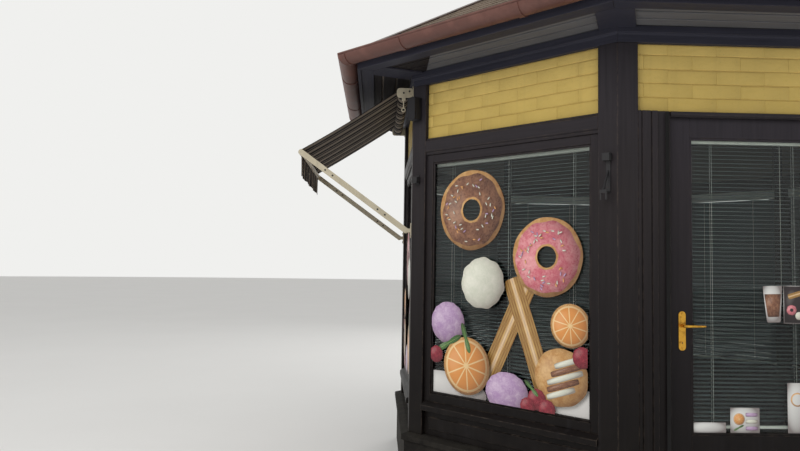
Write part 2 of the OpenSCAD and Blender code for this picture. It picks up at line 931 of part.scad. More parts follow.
module awning_roller() {
    end = bracket_x + bracket_t / 2;
    color(cloth_grey)
        bay(2)
            difference() {
                union() {
                    rod(-cloth_half - 4, cloth_half + 4, roller_out, roller_z, roll_r);
                    rod(-end, end, roller_out, roller_z, roller_pin_r);
                }
                for (x = [-end, end - 12])
                    translate([x - 0.5, -apothem - roller_out, roller_z])
                        rotate([0, 90, 0])
                            cylinder(h = 12.5, r = 8, $fn = 6);
            }
}

module awning_pivots() {
    color(steel_beige)
        bay(2)
            for (m = [0, 1])
                mirror([m, 0, 0]) {
                    translate([arm_x, -apothem - touch, pivot_z])
                        rotate([90, 0, 0])
                            linear_extrude(height = pivot_plate_t)
                                difference() {
                                    strip_h = pivot_plate_h - 8;
                                    union() {
                                        translate([-pivot_plate_r - 2, -strip_h / 2])
                                            square([2 * pivot_plate_r + 4, strip_h]);
                                        for (z = [-1, 1])
                                            translate([0, z * pivot_plate_h / 2]) circle(r = pivot_plate_r);
                                    }
                                    for (z = [-1, 1])
                                        translate([0, z * pivot_plate_h / 2]) circle(r = pivot_plate_r / 3);
                                }
                    for (x = [-ear_x, ear_x])
                        along(arm_x + x, ear_t)
                            translate([0, pivot_z]) {
                                translate([pivot_plate_t - 1, -ear_r])
                                    square([pivot_out - pivot_plate_t + 1, 2 * ear_r]);
                                translate([pivot_out, 0]) circle(r = ear_r);
                            }
                    rod(arm_x - ear_x - ear_t / 2 - 2, arm_x + ear_x + ear_t / 2 + 2, pivot_out, pivot_z, pin_r);
                }
}

module awning_arms() {
    color(steel_beige)
        bay(2)
            for (m = [0, 1])
                mirror([m, 0, 0]) {
                    along(arm_x, arm_t)
                        translate([pivot_out, pivot_z])
                            rotate(arm_angle)
                                difference() {
                                    round_bar(arm_len, arm_w);
                                    circle(r = pin_r + pin_play);
                                }
                    rod(arm_x - arm_t / 2 - arm_gap - 20, arm_x, bar_out, bar_z, pin_r);
                }
}

module awning_front_bar() {
    end = bar_half;
    color(steel_beige)
        bay(2)
            difference() {
                rod(-end, end, bar_out, bar_z, bar_r);
                for (x = [-end - 1, end - 24])
                    rod(x, x + 25, bar_out, bar_z, pin_r + pin_play);
            }
}

module awning_valance() {
    color(cloth_grey)
        bay(2)
            board(0, 2 * cloth_half, -bar_out - cloth_t / 2, cloth_t,
                bar_z - bar_r - cloth_clear - valance_h, valance_h);
}

module awning_fabric() {
    color(cloth_grey)
        bay(2)
            along(0, 2 * cloth_half)
                translate([roller_out, roller_z])
                    rotate(cloth_slope)
                        translate([0, roll_r + cloth_clear])
                            square([cloth_run * cos(cloth_turn), cloth_t]);
}

module post_hooks() {
    hook_w = 24;
    plate_t = 5;
    low = hook_top - hook_len;
    x0 = side / 2 - hook_in;
    color(iron)
        bay(1) {
            board(x0, hook_w, -plate_t - touch, plate_t, low + 40, hook_len - 40);
            board(x0, 40, -36, 36.5 - plate_t, hook_top - 44, 40);
            along(x0, 8)
                polygon([[plate_t - 1, hook_top - 90], [plate_t - 1, hook_top - 106], [58, low + 44], [66, low + 54]]);
            board(x0, 40, -64, 10, low + 34, 18);
            for (x = [-15, 15])
                board(x0 + x, 8, -62, 7, low, 36);
            board(x0, 8, -60, 60 - plate_t + 1, low + 40, 8);
            board(-x0, hook_w, -plate_t - touch, plate_t, hook_top - 76, 60);
            board(-x0, 40, -36, 36.5 - plate_t, hook_top - 68, 40);
        }
}

module wall_box() {
    color(iron)
        bay(1) board(-side / 2 + box_w / 2 + 5, box_w, -box_d - touch, box_d, soffit_z - box_drop - box_h, box_h);
}

plinth();
plinth_ledge();
floor_slab();  // floor
door_threshold();
corner_posts();
lower_panels();
window_sills();
sash_stiles();
sash_rails();
window_glass();
window_blinds();
blind_headrails();
transom_rails();
brick_frieze();
ring_beam();
door_jambs();
door_head();
soffit();
eaves_boards();
soffit_covers();
fascia();
gutter();
gutter_straps();
downpipe();
ceiling();
roof_panels();
hip_covers();
roof_cap();
door_stiles();
door_rails();
door_panel();
door_glass();
door_blind();
door_lock_plates();
door_hinges();
frame_hinges();
door_handle();
awning_brackets();
awning_roller();
awning_pivots();
awning_arms();
awning_front_bar();
awning_valance();
awning_fabric();
post_hooks();
wall_box();
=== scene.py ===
"""Looks of an eight-sided street kiosk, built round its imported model."""

import logging
import math
import random
from dataclasses import dataclass
from enum import Enum
from typing import Callable, Optional, Sequence, Tuple

import bmesh
import bpy
from mathutils import Matrix, Vector


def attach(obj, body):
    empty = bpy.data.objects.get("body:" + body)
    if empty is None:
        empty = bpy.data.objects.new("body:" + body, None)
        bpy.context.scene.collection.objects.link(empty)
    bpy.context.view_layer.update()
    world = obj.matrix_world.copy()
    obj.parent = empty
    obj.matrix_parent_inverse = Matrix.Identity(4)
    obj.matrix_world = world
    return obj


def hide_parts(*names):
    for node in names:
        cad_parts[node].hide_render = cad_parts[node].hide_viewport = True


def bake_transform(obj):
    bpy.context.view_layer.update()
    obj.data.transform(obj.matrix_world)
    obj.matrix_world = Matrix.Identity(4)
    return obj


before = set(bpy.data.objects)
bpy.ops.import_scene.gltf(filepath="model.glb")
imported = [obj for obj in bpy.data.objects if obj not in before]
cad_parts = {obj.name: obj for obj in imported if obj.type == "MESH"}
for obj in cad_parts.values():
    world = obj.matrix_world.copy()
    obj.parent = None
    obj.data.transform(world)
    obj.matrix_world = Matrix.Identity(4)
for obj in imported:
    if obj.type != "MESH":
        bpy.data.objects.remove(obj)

logging.basicConfig(level=logging.INFO, format="%(name)s: %(message)s")
log = logging.getLogger("kiosk")

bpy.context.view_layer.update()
Tone = Tuple[int, int, int]
Pair = Tuple[float, float]
Triple = Tuple[float, float, float]
Rgba = Tuple[float, float, float, float]
Edge = Callable[[float], float]
Mesh = bmesh.types.BMesh
Socket = bpy.types.NodeSocket
SIDES = 8
EIGHTH = math.tau / SIDES
FLAT = Matrix.Identity(4)
UP = Vector((0, 0, 1))


def linear(tone: Tone) -> Rgba:
    """Turns a colour of 0 to 255 a channel into scene values.

    Args:
        tone: Red, green and blue as they look on a screen.

    Returns:
        The same colour as linear red, green, blue and alpha.
    """
    out = []
    for value in tone:
        c = value / 255
        out.append(c / 12.92 if c <= 0.04045 else ((c + 0.055) / 1.055) ** 2.4)
    return (out[0], out[1], out[2], 1.0)


@dataclass(frozen=True)
class Plan:
    """Main sizes of the kiosk in metres, and the way from one side to the next."""

    side: float = 1.44
    post_face: float = 0.111
    sash_z: float = 0.618
    sash_top: float = 2.209
    frieze_z: float = 2.318
    beam_z: float = 2.679
    soffit_z: float = 2.765

    @property
    def apothem(self) -> float:
        """Distance from the middle to the post faces."""
        return self.side / 2 / math.tan(EIGHTH / 2)

    @property
    def bay_half(self) -> float:
        """Half the clear width between two posts."""
        return self.side / 2 - self.post_face - 0.00005

    def turn(self, bay: int) -> Matrix:
        """Turn about the upright axis from the door side, which is 0, to another side."""
        return Matrix.Rotation(-EIGHTH * bay, 4, "Z")

    def at(self, x: float, out: float, z: float) -> Vector:
        """Point of the door side, given along it, out from the post faces and above the ground."""
        return Vector((x, -self.apothem - out, z))


PLAN = Plan()


def box(size: Sequence[float], centre: Sequence[float] = (0, 0, 0)) -> Mesh:
    """Makes a plain box.

    Args:
        size: Its length along each axis.
        centre: Its middle.

    Returns:
        The box as a small mesh.
    """
    part = bmesh.new()
    bmesh.ops.create_cube(part, size=1.0)
    bmesh.ops.scale(part, vec=Vector(size), verts=part.verts)
    bmesh.ops.translate(part, vec=Vector(centre), verts=part.verts)
    return part


def cone(r: float, r2: float, depth: float, sides: int) -> Mesh:
    """Makes an upright round or tapered bar with smooth sides.

    Args:
        r: Radius at its foot.
        r2: Radius at its top.
        depth: Its length.
        sides: Faces round it.

    Returns:
        The bar as a small mesh.
    """
    part = bmesh.new()
    bmesh.ops.create_cone(part, cap_ends=True, cap_tris=False, segments=sides, radius1=r, radius2=r2,
                          depth=depth)
    for f in part.faces:
        f.smooth = len(f.verts) == 4
    return part


def pointing(place: Vector, way: Vector) -> Matrix:
    """Returns the transform that moves what stands upright to a place, and turns it a way."""
    return Matrix.Translation(place) @ UP.rotation_difference(way).to_matrix().to_4x4()


def show(name: str, data: bpy.types.ID) -> bpy.types.Object:
    """Puts a mesh, a lamp or a lens into the scene.

    Args:
        name: Name of the new object.
        data: What it holds.

    Returns:
        The object.
    """
    thing = bpy.data.objects.new(name, data)
    bpy.context.scene.collection.objects.link(thing)
    return thing


class Form:
    """A mesh that grows by bmesh operators and ends as one finished object."""

    def __init__(self, name: str) -> None:
        """Starts an empty mesh.

        Args:
            name: Name of the object that it ends as.
        """
        self.name = name
        self.bm = bmesh.new()
        self.edge = self.bm.faces.layers.float.new("edge")
        self.tint = self.bm.faces.layers.float.new("tint")
        self.uv = self.bm.loops.layers.uv.new("lay")

    def keep(self, part: Mesh, turn: Matrix = FLAT, slot: int = 0, tint: float = 0.0) -> None:
        """Takes in a small mesh and frees it.

        Args:
            part: Mesh to take in, in the layers of this one.
            turn: Transform that puts it in place.
            slot: Material slot of its faces.
            tint: Value from 0 to 1 that sets it off from its neighbours.
        """
        bmesh.ops.transform(part, matrix=turn, verts=part.verts)
        uv = part.loops.layers.uv.get("lay")
        edge = part.faces.layers.float.get("edge")
        new = {v: self.bm.verts.new(v.co) for v in part.verts}
        for f in part.faces:
            face = self.bm.faces.new([new[v] for v in f.verts])
            face.smooth = f.smooth
            face.material_index = slot + f.material_index
            face[self.tint] = tint
            if edge is not None:
                face[self.edge] = f[edge]
            if uv is not None:
                for mine, theirs in zip(face.loops, f.loops):
                    mine[self.uv].uv = theirs[uv].uv
        part.free()

    def block(self, x: Pair, out: Pair, z: Pair, turn: Matrix = FLAT, ease: float = 0.0, steps: int = 2,
              slot: int = 0) -> None:
        """Adds a board that stands on the door side and is then turned.

        Args:
            x: Its ends along the side.
            out: Its back and front, as distances out from the post faces.
            z: Its foot and top.
            turn: Transform that takes it to its own side.
            ease: Width of the rounding of its edges.
            steps: Segments of that rounding.
            slot: Material slot.
        """
        part = box((x[1] - x[0], out[1] - out[0], z[1] - z[0]),
                   PLAN.at((x[0] + x[1]) / 2, (out[0] + out[1]) / 2, (z[0] + z[1]) / 2))
        if ease > 0:
            soften(part, ease, steps)
        self.keep(part, turn, slot)

    def rod(self, a: Vector, b: Vector, r: float, sides: int = 6, turn: Matrix = FLAT, ease: float = 0.0,
            slot: int = 0) -> None:
        """Adds a round bar between two points.

        Args:
            a: Middle of its first end.
            b: Middle of its second end.
            r: Its radius.
            sides: Faces round it.
            turn: Transform that takes it to its own side.
            ease: Width of the rounding of its end edges.
            slot: Material slot.
        """
        part = cone(r, r, (b - a).length, sides)
        if ease > 0:
            soften(part, ease, 2, 0.7)
        self.keep(part, turn @ pointing((a + b) / 2, b - a), slot)

    def screw(self, centre: Vector, facing: Vector, r: float, turn: Matrix = FLAT) -> None:
        """Adds a domed screw head with a straight slot.

        Args:
            centre: Middle of its seat.
            facing: Way that it faces.
            r: Its radius.
            turn: Transform that takes it to its own side.
        """
        part = cone(r, r * 0.8, r * 0.5, 16)
        top = max(part.faces, key=lambda f: f.calc_center_median().z)
        bmesh.ops.inset_region(part, faces=[top], thickness=r * 0.12, depth=r * 0.08)
        for f in part.faces:
            f.smooth = len(f.verts) == 4
        out = facing.normalized() * r
        self.keep(part, turn @ pointing(centre + out * 0.25, facing))
        cut = pointing(centre + out * 0.6, facing) @ Matrix.Rotation(0.6, 4, "Z")
        self.keep(box((r * 1.3, r * 0.2, r * 0.06)), turn @ cut, tint=1.0)

    def finish(self, body: Optional[str], finishes: Sequence["Finish"],
               replaces: Sequence[str] = ()) -> bpy.types.Object:
        """Turns the mesh into an object that rides on a body.

        Args:
            body: Name of the body that carries it, or none for a piece that no body carries.
            finishes: Finish of each material slot, in order.
            replaces: Nodes that it stands for.

        Returns:
            The finished object, at the origin and unturned.
        """
        mesh = bpy.data.meshes.new(self.name)
        self.bm.normal_update()
        self.bm.to_mesh(mesh)
        self.bm.free()
        piece = show(self.name, mesh)
        for finish in finishes:
            mesh.materials.append(finish.material())
        if replaces:
            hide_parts(*replaces)
        if body:
            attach(piece, body)
        log.info("%s: %d faces on %s", self.name, len(mesh.polygons), body or "two bodies")
        return piece


def bevel(part: Mesh, edges: Sequence[bmesh.types.BMEdge], width: float, steps: int) -> list:
    """Rounds some edges of a mesh and returns the new faces."""
    return bmesh.ops.bevel(part, geom=edges, offset=width, offset_type="OFFSET", segments=steps,
                           profile=0.5, affect="EDGES", clamp_overlap=True, material=-1)["faces"]


def everything(part: Mesh) -> list:
    """Lists the points, edges and faces of a mesh."""
    return list(part.verts) + list(part.edges) + list(part.faces)


def soften(part: Mesh, width: float, steps: int = 2, angle: float = 0.35) -> None:
    """Rounds the sharp edges of a mesh and marks the new faces as worn edges.

    Args:
        part: Mesh to work on.
        width: Width of the rounding.
        steps: Segments of the rounding.
        angle: Turn of an edge, in radians, above which it is sharp.
    """
    layer = part.faces.layers.float.get("edge") or part.faces.layers.float.new("edge")
    sharp = [e for e in part.edges if len(e.link_faces) == 2 and e.calc_face_angle(0) > angle]
    for f in bevel(part, sharp, width, steps):
        f[layer] = 1.0
        f.smooth = True


def clip(part: Mesh, point: Vector, outward: Vector) -> None:
    """Cuts away what lies past a plane and closes the cut.

    Args:
        part: Mesh to cut.
        point: A point of the plane.
        outward: Normal of the plane, towards what is cut away.
    """
    cut = bmesh.ops.bisect_plane(part, geom=everything(part), dist=1e-7, plane_co=point, plane_no=outward,
                                 clear_outer=True, clear_inner=False)
    edges = [e for e in cut["geom_cut"] if isinstance(e, bmesh.types.BMEdge)]
    if edges:
        bmesh.ops.edgeloop_fill(part, edges=edges)


def mitre(part: Mesh, gap: float = 0.0005) -> None:
    """Cuts a run on the door side at the planes through its two corners.

    Args:
        part: Mesh drawn on the door side.
        gap: Half the open joint.
    """
    c, s = math.cos(EIGHTH / 2), math.sin(EIGHTH / 2)
    for way in (-1, 1):
        normal = Vector((way * c, s, 0))
        clip(part, normal * -gap, normal)


class Graph:
    """Node tree of a material or a group, filled by short calls."""

    def __init__(self, tree: bpy.types.NodeTree) -> None:
        """Takes the empty node tree to fill."""
        self.tree = tree
        self.shader: Optional[bpy.types.Node] = None

    @classmethod
    def of(cls, owner: bpy.types.ID) -> "Graph":
        """Starts the node tree of a material or of the world afresh.

        Args:
            owner: The material or the world.

        Returns:
            Its graph, still empty.
        """
        owner.use_nodes = True
        owner.node_tree.nodes.clear()
        return cls(owner.node_tree)

    def add(self, kind: str, inputs: Optional[dict] = None, **settings: object) -> bpy.types.Node:
        """Adds a node.

        Args:
            kind: Type of the node, without its common start.
            inputs: Values or sockets for its inputs, by name or number.
            settings: Properties of the node.

        Returns:
            The new node.
        """
        node = self.tree.nodes.new("ShaderNode" + kind)
        for key, value in settings.items():
            setattr(node, key, value)
        for key, value in (inputs or {}).items():
            self.put(node.inputs[key], value)
        return node

    def put(self, socket: Socket, value: object) -> None:
        """Links a socket to an input, or sets the input's own value.

        Args:
            socket: The input.
            value: Socket to link to it, or the value to set.
        """
        if isinstance(value, bpy.types.NodeSocket):
            self.tree.links.new(value, socket)
        else:
            socket.default_value = value

    def math(self, how: str, a: object, b: object = 0.0, clamp: bool = False) -> Socket:
        """Adds one step of arithmetic and returns its result."""
        return self.add("Math", {0: a, 1: b}, operation=how, use_clamp=clamp).outputs[0]

    def split(self, vector: Socket) -> Tuple[Socket, Socket, Socket]:
        """Takes a vector apart and returns its three values."""
        out = self.add("SeparateXYZ", {0: vector}).outputs
        return out[0], out[1], out[2]

    def join(self, x: object, y: object, z: object) -> Socket:
        """Puts three values together and returns the vector."""
        return self.add("CombineXYZ", {0: x, 1: y, 2: z}).outputs[0]

    def stretch(self, vector: Socket, scale: object) -> Socket:
        """Scales a vector along each axis and returns it."""
        return self.add("VectorMath", {0: vector, 1: scale}, operation="MULTIPLY").outputs[0]

    def noise(self, vector: Socket, scale: object, detail: float = 4.0, rough: float = 0.55,
              warp: float = 0.0) -> Socket:
        """Adds cloudy noise and returns its value from 0 to 1."""
        return self.add("TexNoise", {"Vector": vector, "Scale": scale, "Detail": detail,
                                     "Roughness": rough, "Distortion": warp}).outputs[0]

    def span(self, value: Socket, low: float, high: float, to_low: float = 0.0,
             to_high: float = 1.0) -> Socket:
        """Maps a range of values to another, clamped, and returns it."""
        return self.add("MapRange", {0: value, 1: low, 2: high, 3: to_low, 4: to_high}).outputs[0]

    def times(self, a: object, b: object) -> Socket:
        """Multiplies two values and returns the result."""
        return self.math("MULTIPLY", a, b)

    def plus(self, a: object, b: object) -> Socket:
        """Adds two values and returns the sum."""
        return self.math("ADD", a, b)

    def mix(self, share: object, a: object, b: object, blend: str = "MIX") -> Socket:
        """Mixes two colours and returns the result."""
        node = self.add("Mix", {0: share, 6: a, 7: b}, data_type="RGBA", blend_type=blend)
        return node.outputs[2]

    def tinted(self, base: Socket, share: Triple) -> Socket:
        """Multiplies each channel of a colour by its share and returns the result."""
        return self.mix(1.0, base, (*share, 1.0), "MULTIPLY")

    def wash(self, base: Socket, mask: Socket, share: float, colour: Rgba) -> Socket:
        """Lays a colour over a base, at a share of a mask, and returns the result."""
        return self.mix(self.times(mask, share), base, colour)

    def bump(self, height: Socket, depth: float, strength: float) -> Socket:
        """Turns heights from 0 to 1 into a normal, for a relief of this depth."""
        return self.add("Bump", {"Strength": strength, "Distance": depth, "Height": height}).outputs[0]

    def value(self, name: str) -> Socket:
        """Reads a value that the mesh carries and returns it."""
        return self.add("Attribute", attribute_name=name, attribute_type="GEOMETRY").outputs["Fac"]

    def effect(self, effect: "Effect", inputs: dict) -> dict:
        """Places a shared effect.

        Args:
            effect: The effect to place.
            inputs: Values or sockets for its named inputs.

        Returns:
            Its outputs by name.
        """
        node = self.add("Group", node_tree=effect.tree())
        for key, value in inputs.items():
            self.put(node.inputs[key], value)
        return {out.name: out for out in node.outputs}


@dataclass(frozen=True)
class Effect:
    """A node group that several finishes share, made once."""

    name: str
    inputs: Tuple[Tuple[str, str, object], ...]
    outputs: Tuple[Tuple[str, str], ...]
    fill: Callable[[Graph, dict], dict]

    def tree(self) -> bpy.types.NodeTree:
        """Makes the group, or finds it where it is made already.

        Returns:
            The node group.
        """
        made = bpy.data.node_groups.get(self.name)
        if made:
            return made
        tree = bpy.data.node_groups.new(self.name, "ShaderNodeTree")
        for name, kind, start in self.inputs:
            socket = tree.interface.new_socket(name, in_out="INPUT", socket_type="NodeSocket" + kind)
            if start is not None:
                socket.default_value = start
        for name, kind in self.outputs:
            tree.interface.new_socket(name, in_out="OUTPUT", socket_type="NodeSocket" + kind)
        graph = Graph(tree)
        source = tree.nodes.new("NodeGroupInput")
        results = self.fill(graph, {out.name: out for out in source.outputs if out.name})
        end = tree.nodes.new("NodeGroupOutput")
        for name, socket in results.items():
            graph.put(end.inputs[name], socket)
        return tree


def fill_place(g: Graph, given: dict) -> dict:
    """Fills the group that finds a point's place on its side of the kiosk.

    Args:
        g: Graph of the group.
        given: Its inputs by name.

    Returns:
        Its outputs by name.
    """
    x, y, z = g.split(given["Point"])
    reach = g.math("SQRT", g.plus(g.times(x, x), g.times(y, y)))
    angle = g.math("ARCTAN2", x, g.times(y, -1.0))
    side = g.math("ROUND", g.math("DIVIDE", angle, EIGHTH))
    rest = g.math("SUBTRACT", angle, g.times(side, EIGHTH))
    along = g.times(reach, g.math("SINE", rest))
    out = g.math("SUBTRACT", g.times(reach, g.math("COSINE", rest)), PLAN.apothem)
    return {"Place": g.join(g.plus(along, g.times(side, 3.7)), out, z), "Height": z}


PLACE = Effect("place_on_side", (("Point", "Vector", None),), (("Place", "Vector"), ("Height", "Float")),
               fill_place)


def fill_grain(g: Graph, given: dict) -> dict:
    """Fills the group that draws the streaks of planed and brushed timber."""
    streak = g.noise(g.stretch(given["Place"], given["Stretch"]), 1.0, 6.0, 0.62, 0.3)
    return {"Streak": streak, "Cloud": g.noise(given["Place"], 2.3, 3.0)}


GRAIN = Effect("timber_grain", (("Place", "Vector", None), ("Stretch", "Vector", (60.0, 60.0, 3.0))),
               (("Streak", "Float"), ("Cloud", "Float")), fill_grain)


def fill_weather(g: Graph, given: dict) -> dict:
    """Fills the group that puts dust at the foot, rain runs and rubbed edges.

    Args:
        g: Graph of the group.
        given: Its inputs by name.

    Returns:
        Its outputs by name.
    """
    place = given["Place"]
    low = g.math("POWER", g.span(given["Height"], 0.15, 0.95, 1.0, 0.0), 1.6)
    wear = {"Dust": g.times(low, g.span(g.noise(place, 9.0, 5.0, 0.6), 0.3, 0.75)),
            "Runs": g.span(g.noise(g.stretch(place, (26.0, 26.0, 0.9)), 1.0, 3.0, 0.5), 0.56, 0.78),
            "Rub": g.times(given["Edge"], g.span(g.noise(place, 24.0, 4.0, 0.7), 0.42, 0.66))}
    return {name: g.math("MULTIPLY", worn, given["Amount"], clamp=True) for name, worn in wear.items()}


WEATHER = Effect("weather", (("Place", "Vector", None), ("Height", "Float", 1.0), ("Edge", "Float", 0.0),
                             ("Amount", "Float", 0.5)),
                 (("Dust", "Float"), ("Runs", "Float"), ("Rub", "Float")), fill_weather)


def fill_speckle(g: Graph, given: dict) -> dict:
    """Fills the group that scatters fine grit.

    Args:
        g: Graph of the group.
        given: Its inputs by name.

    Returns:
        Its outputs by name.
    """
    fine = g.noise(given["Place"], given["Scale"], 2.0, 0.7)
    grit = g.add("TexVoronoi", {"Vector": given["Place"], "Scale": given["Scale"]}).outputs
    shade = g.add("SeparateColor", {0: grit["Color"]}).outputs[0]
    return {"Grit": g.plus(g.times(fine, 0.5), g.times(grit["Distance"], 0.6)), "Shade": shade}


SPECKLE = Effect("speckle", (("Place", "Vector", None), ("Scale", "Float", 200.0)),
                 (("Grit", "Float"), ("Shade", "Float")), fill_speckle)


@dataclass(frozen=True)
class Finish:
    """One finish: its name, the slot of the record that it fills and its main colour."""

    name: str
    slot: str
    tone: Tone
    rough: float = 0.5

    def material(self) -> bpy.types.Material:
        """Makes the material, or finds it where it is made already.

        Returns:
            The material.
        """
        made = bpy.data.materials.get("kiosk_" + self.name)
        if made:
            return made
        mat = bpy.data.materials.new("kiosk_" + self.name)
        g = Graph.of(mat)
        g.shader = g.add("BsdfPrincipled", {"Base Color": linear(self.tone), "Roughness": self.rough})
        g.add("OutputMaterial", {"Surface": g.shader.outputs[0]})
        self.dress(g)
        mat.diffuse_color = linear(self.tone)
        return mat

    def dress(self, g: Graph) -> None:
        """Gives the shader its colour, gloss and relief; each finish has its own."""
        raise NotImplementedError

    def place(self, g: Graph) -> dict:
        """Adds the point's place on its side and returns the outputs."""
        point = g.add("TexCoord").outputs["Object"]
        return g.effect(PLACE, {"Point": point})

    def wear(self, g: Graph, spot: dict, amount: float) -> dict:
        """Adds the wear of a place and of the mesh's edges and returns the outputs."""
        return g.effect(WEATHER, {**spot, "Edge": g.value("edge"), "Amount": amount})

    def shades(self, lighter: float) -> Rgba:
        """Returns the main colour made lighter, or darker below 1, as scene values."""
        r, gr, b, a = linear(self.tone)
        return (min(r * lighter, 1), min(gr * lighter, 1), min(b * lighter, 1), a)

    def gloss(self, g: Graph, share: Socket, smooth: float, dull: float) -> Socket:
        """Spreads the roughness round its own value where a cloud is thin or thick."""
        return g.span(share, 0.3, 0.7, self.rough + smooth, self.rough + dull)

    def coat(self, g: Graph, colour: Socket, rough: Socket, normal: Optional[Socket] = None,
             specular: Optional[float] = None) -> None:
        """Gives the shader its coat.

        Args:
            g: Graph of the material.
            colour: Base colour.
            rough: Roughness.
            normal: Relief, where it has one.
            specular: Level of the sheen, where it isn't the usual one.
        """
        for name, value in (("Base Color", colour), ("Roughness", rough), ("Normal", normal),
                            ("Specular IOR Level", specular)):
            if value is not None:
                g.put(g.shader.inputs[name], value)


class Lay(Enum):
    """Which way the grain of a timber piece runs."""

    UPRIGHT = (55.0, 55.0, 2.2)
    LEVEL = (2.2, 55.0, 55.0)


@dataclass(frozen=True)
class PaintedTimber(Finish):
    """Dark stained and painted timber, with brushed grain, rubbed edges and dust, painted shade towards its
    foot and painted sky light towards its top.
    """

    lay: Lay = Lay.UPRIGHT
    worn: float = 0.6

    def dress(self, g: Graph) -> None:
        """Gives the shader the look of painted timber.

        Args:
            g: Graph of the material.
        """
        spot = self.place(g)
        grain = g.effect(GRAIN, {"Place": spot["Place"], "Stretch": self.lay.value})
        wear = self.wear(g, spot, self.worn)
        base = g.mix(g.span(grain["Streak"], 0.3, 0.75), self.shades(0.7), self.shades(1.3))
        base = g.wash(base, grain["Cloud"], 0.4, self.shades(1.4))
        # Painted shade and painted sky light: towards the foot the colour darkens to about a fifth, and
        # towards the top it grows paler and bluer.
        low, high = g.tinted(base, (0.2, 0.17, 0.16)), g.tinted(base, (1.35, 1.42, 1.62))
        base = g.mix(g.span(spot["Height"], 0.6, 1.9), low, base)
        base = g.mix(g.span(spot["Height"], 1.9, 2.7), base, high)
        for kind, share, tone in (("Runs", 0.25, (60, 58, 62)), ("Rub", 0.6, (96, 84, 74)),
                                  ("Dust", 0.4, (74, 68, 60))):
            base = g.wash(base, wear[kind], share, linear(tone))
        rough = g.math("ADD", self.gloss(g, grain["Streak"], -0.07, 0.1), g.times(wear["Dust"], 0.3),
                       clamp=True)
        self.coat(g, base, rough, g.bump(grain["Streak"], 0.0008, 0.55), 0.14)


@dataclass(frozen=True)
class PaintedBrick(Finish):
    """Yellow paint over brickwork, thick in the joints and patchy on the faces, with painted light towards
    the top.
    """

    def dress(self, g: Graph) -> None:
        """Gives the shader the look of painted brick.

        Args:
            g: Graph of the material.
        """
        spot = self.place(g)
        own = g.value("tint")
        cloud = g.noise(spot["Place"], 5.0, 5.0, 0.6)
        pits = g.noise(spot["Place"], 90.0, 4.0, 0.65)
        rough = g.noise(g.stretch(spot["Place"], (1.0, 1.0, 2.2)), 24.0, 4.0, 0.6)
        base = g.mix(cloud, self.shades(0.86), self.shades(1.1))
        base = g.wash(base, own, 0.14, self.shades(0.84))
        # Painted light: the colour grows paler and bluer towards the top of the band, against the shade
        # under the eaves.
        paler = g.tinted(base, (1.5, 1.52, 1.72))
        base = g.mix(g.span(spot["Height"], 2.34, 2.66), base, paler)
        base = g.mix(g.span(pits, 0.62, 0.75, 0.0, 0.4), base, self.shades(0.55))
        runs = g.effect(WEATHER, {**spot, "Amount": 0.5})
        base = g.wash(base, runs["Runs"], 0.22, linear((130, 112, 72)))
        relief = g.plus(g.times(rough, 0.75), g.times(pits, 0.25))
        self.coat(g, base, self.gloss(g, rough, -0.08, 0.12), g.bump(relief, 0.0035, 0.8))


@dataclass(frozen=True)
class Grit(Finish):
    """Grainy surface: render, concrete, shingle felt or mortar."""

    grain: float = 160.0
    depth: float = 0.001
    contrast: float = 0.35
    worn: float = 0.4

    def dress(self, g: Graph) -> None:
        """Gives the shader the look of a grainy surface.

        Args:
            g: Graph of the material.
        """
        spot = self.place(g)
        fleck = g.effect(SPECKLE, {"Place": spot["Place"], "Scale": self.grain})
        cloud = g.noise(spot["Place"], 3.2, 5.0, 0.6)
        wear = self.wear(g, spot, self.worn)
        base = g.mix(fleck["Shade"], self.shades(1 - self.contrast), self.shades(1 + self.contrast))
        base = g.wash(base, cloud, 0.6, self.shades(0.72))
        base = g.wash(base, g.value("tint"), 0.55, self.shades(0.6))
        base = g.wash(base, wear["Runs"], 0.3, self.shades(0.55))
        base = g.wash(base, wear["Rub"], 0.5, self.shades(1.5))
        base = g.wash(base, wear["Dust"], 0.4, linear((128, 120, 106)))
        self.coat(g, base, self.gloss(g, cloud, -0.06, 0.06),
                  g.bump(fleck["Grit"], self.depth, 0.8), 0.18)


@dataclass(frozen=True)
class PaintedMetal(Finish):
    """Paint on metal, faded in patches, with chips, dirt and rust where it has worn."""

    paler: Tone = (150, 110, 96)
    rust: float = 0.25

    def dress(self, g: Graph) -> None:
        """Gives the shader the look of painted metal.

        Args:
            g: Graph of the material.
        """
        spot = self.place(g)
        wear = self.wear(g, spot, 0.7)
        cloud = g.noise(spot["Place"], 6.0, 5.0, 0.62)
        chips = g.span(g.noise(spot["Place"], 38.0, 6.0, 0.7), 0.63, 0.7)
        peel = g.noise(spot["Place"], 240.0, 2.0, 0.5)
        base = g.mix(cloud, self.shades(0.8), self.shades(1.12))
        base = g.mix(g.span(cloud, 0.5, 0.75, 0.0, 0.55), base, linear(self.paler))
        base = g.wash(base, wear["Runs"], 0.45, self.shades(0.5))
        rusty = g.math("MAXIMUM", g.times(chips, self.rust), g.times(wear["Rub"], self.rust + 0.2))
        base = g.mix(rusty, base, linear((104, 58, 34)))
        rough = g.math("ADD", self.gloss(g, cloud, -0.06, 0.1), g.times(rusty, 0.3), clamp=True)
        self.coat(g, base, rough, g.bump(g.math("SUBTRACT", peel, chips), 0.0003, 0.6))


@dataclass(frozen=True)
class Brass(Finish):
    """Polished brass that has dulled where hands do not rub it."""

    def dress(self, g: Graph) -> None:
        """Gives the shader the look of brass.

        Args:
            g: Graph of the material.
        """
        spot = self.place(g)
        cloud = g.noise(spot["Place"], 42.0, 5.0, 0.6)
        brushed = g.noise(g.stretch(spot["Place"], (900.0, 900.0, 60.0)), 1.0, 2.0, 0.5)
        base = g.mix(g.span(cloud, 0.45, 0.75), linear(self.tone), linear((150, 108, 46)))
        g.shader.inputs["Metallic"].default_value = 1.0
        rough = g.span(cloud, 0.3, 0.75, self.rough - 0.06, self.rough + 0.18)
        self.coat(g, base, rough, g.bump(brushed, 0.0001, 0.25))


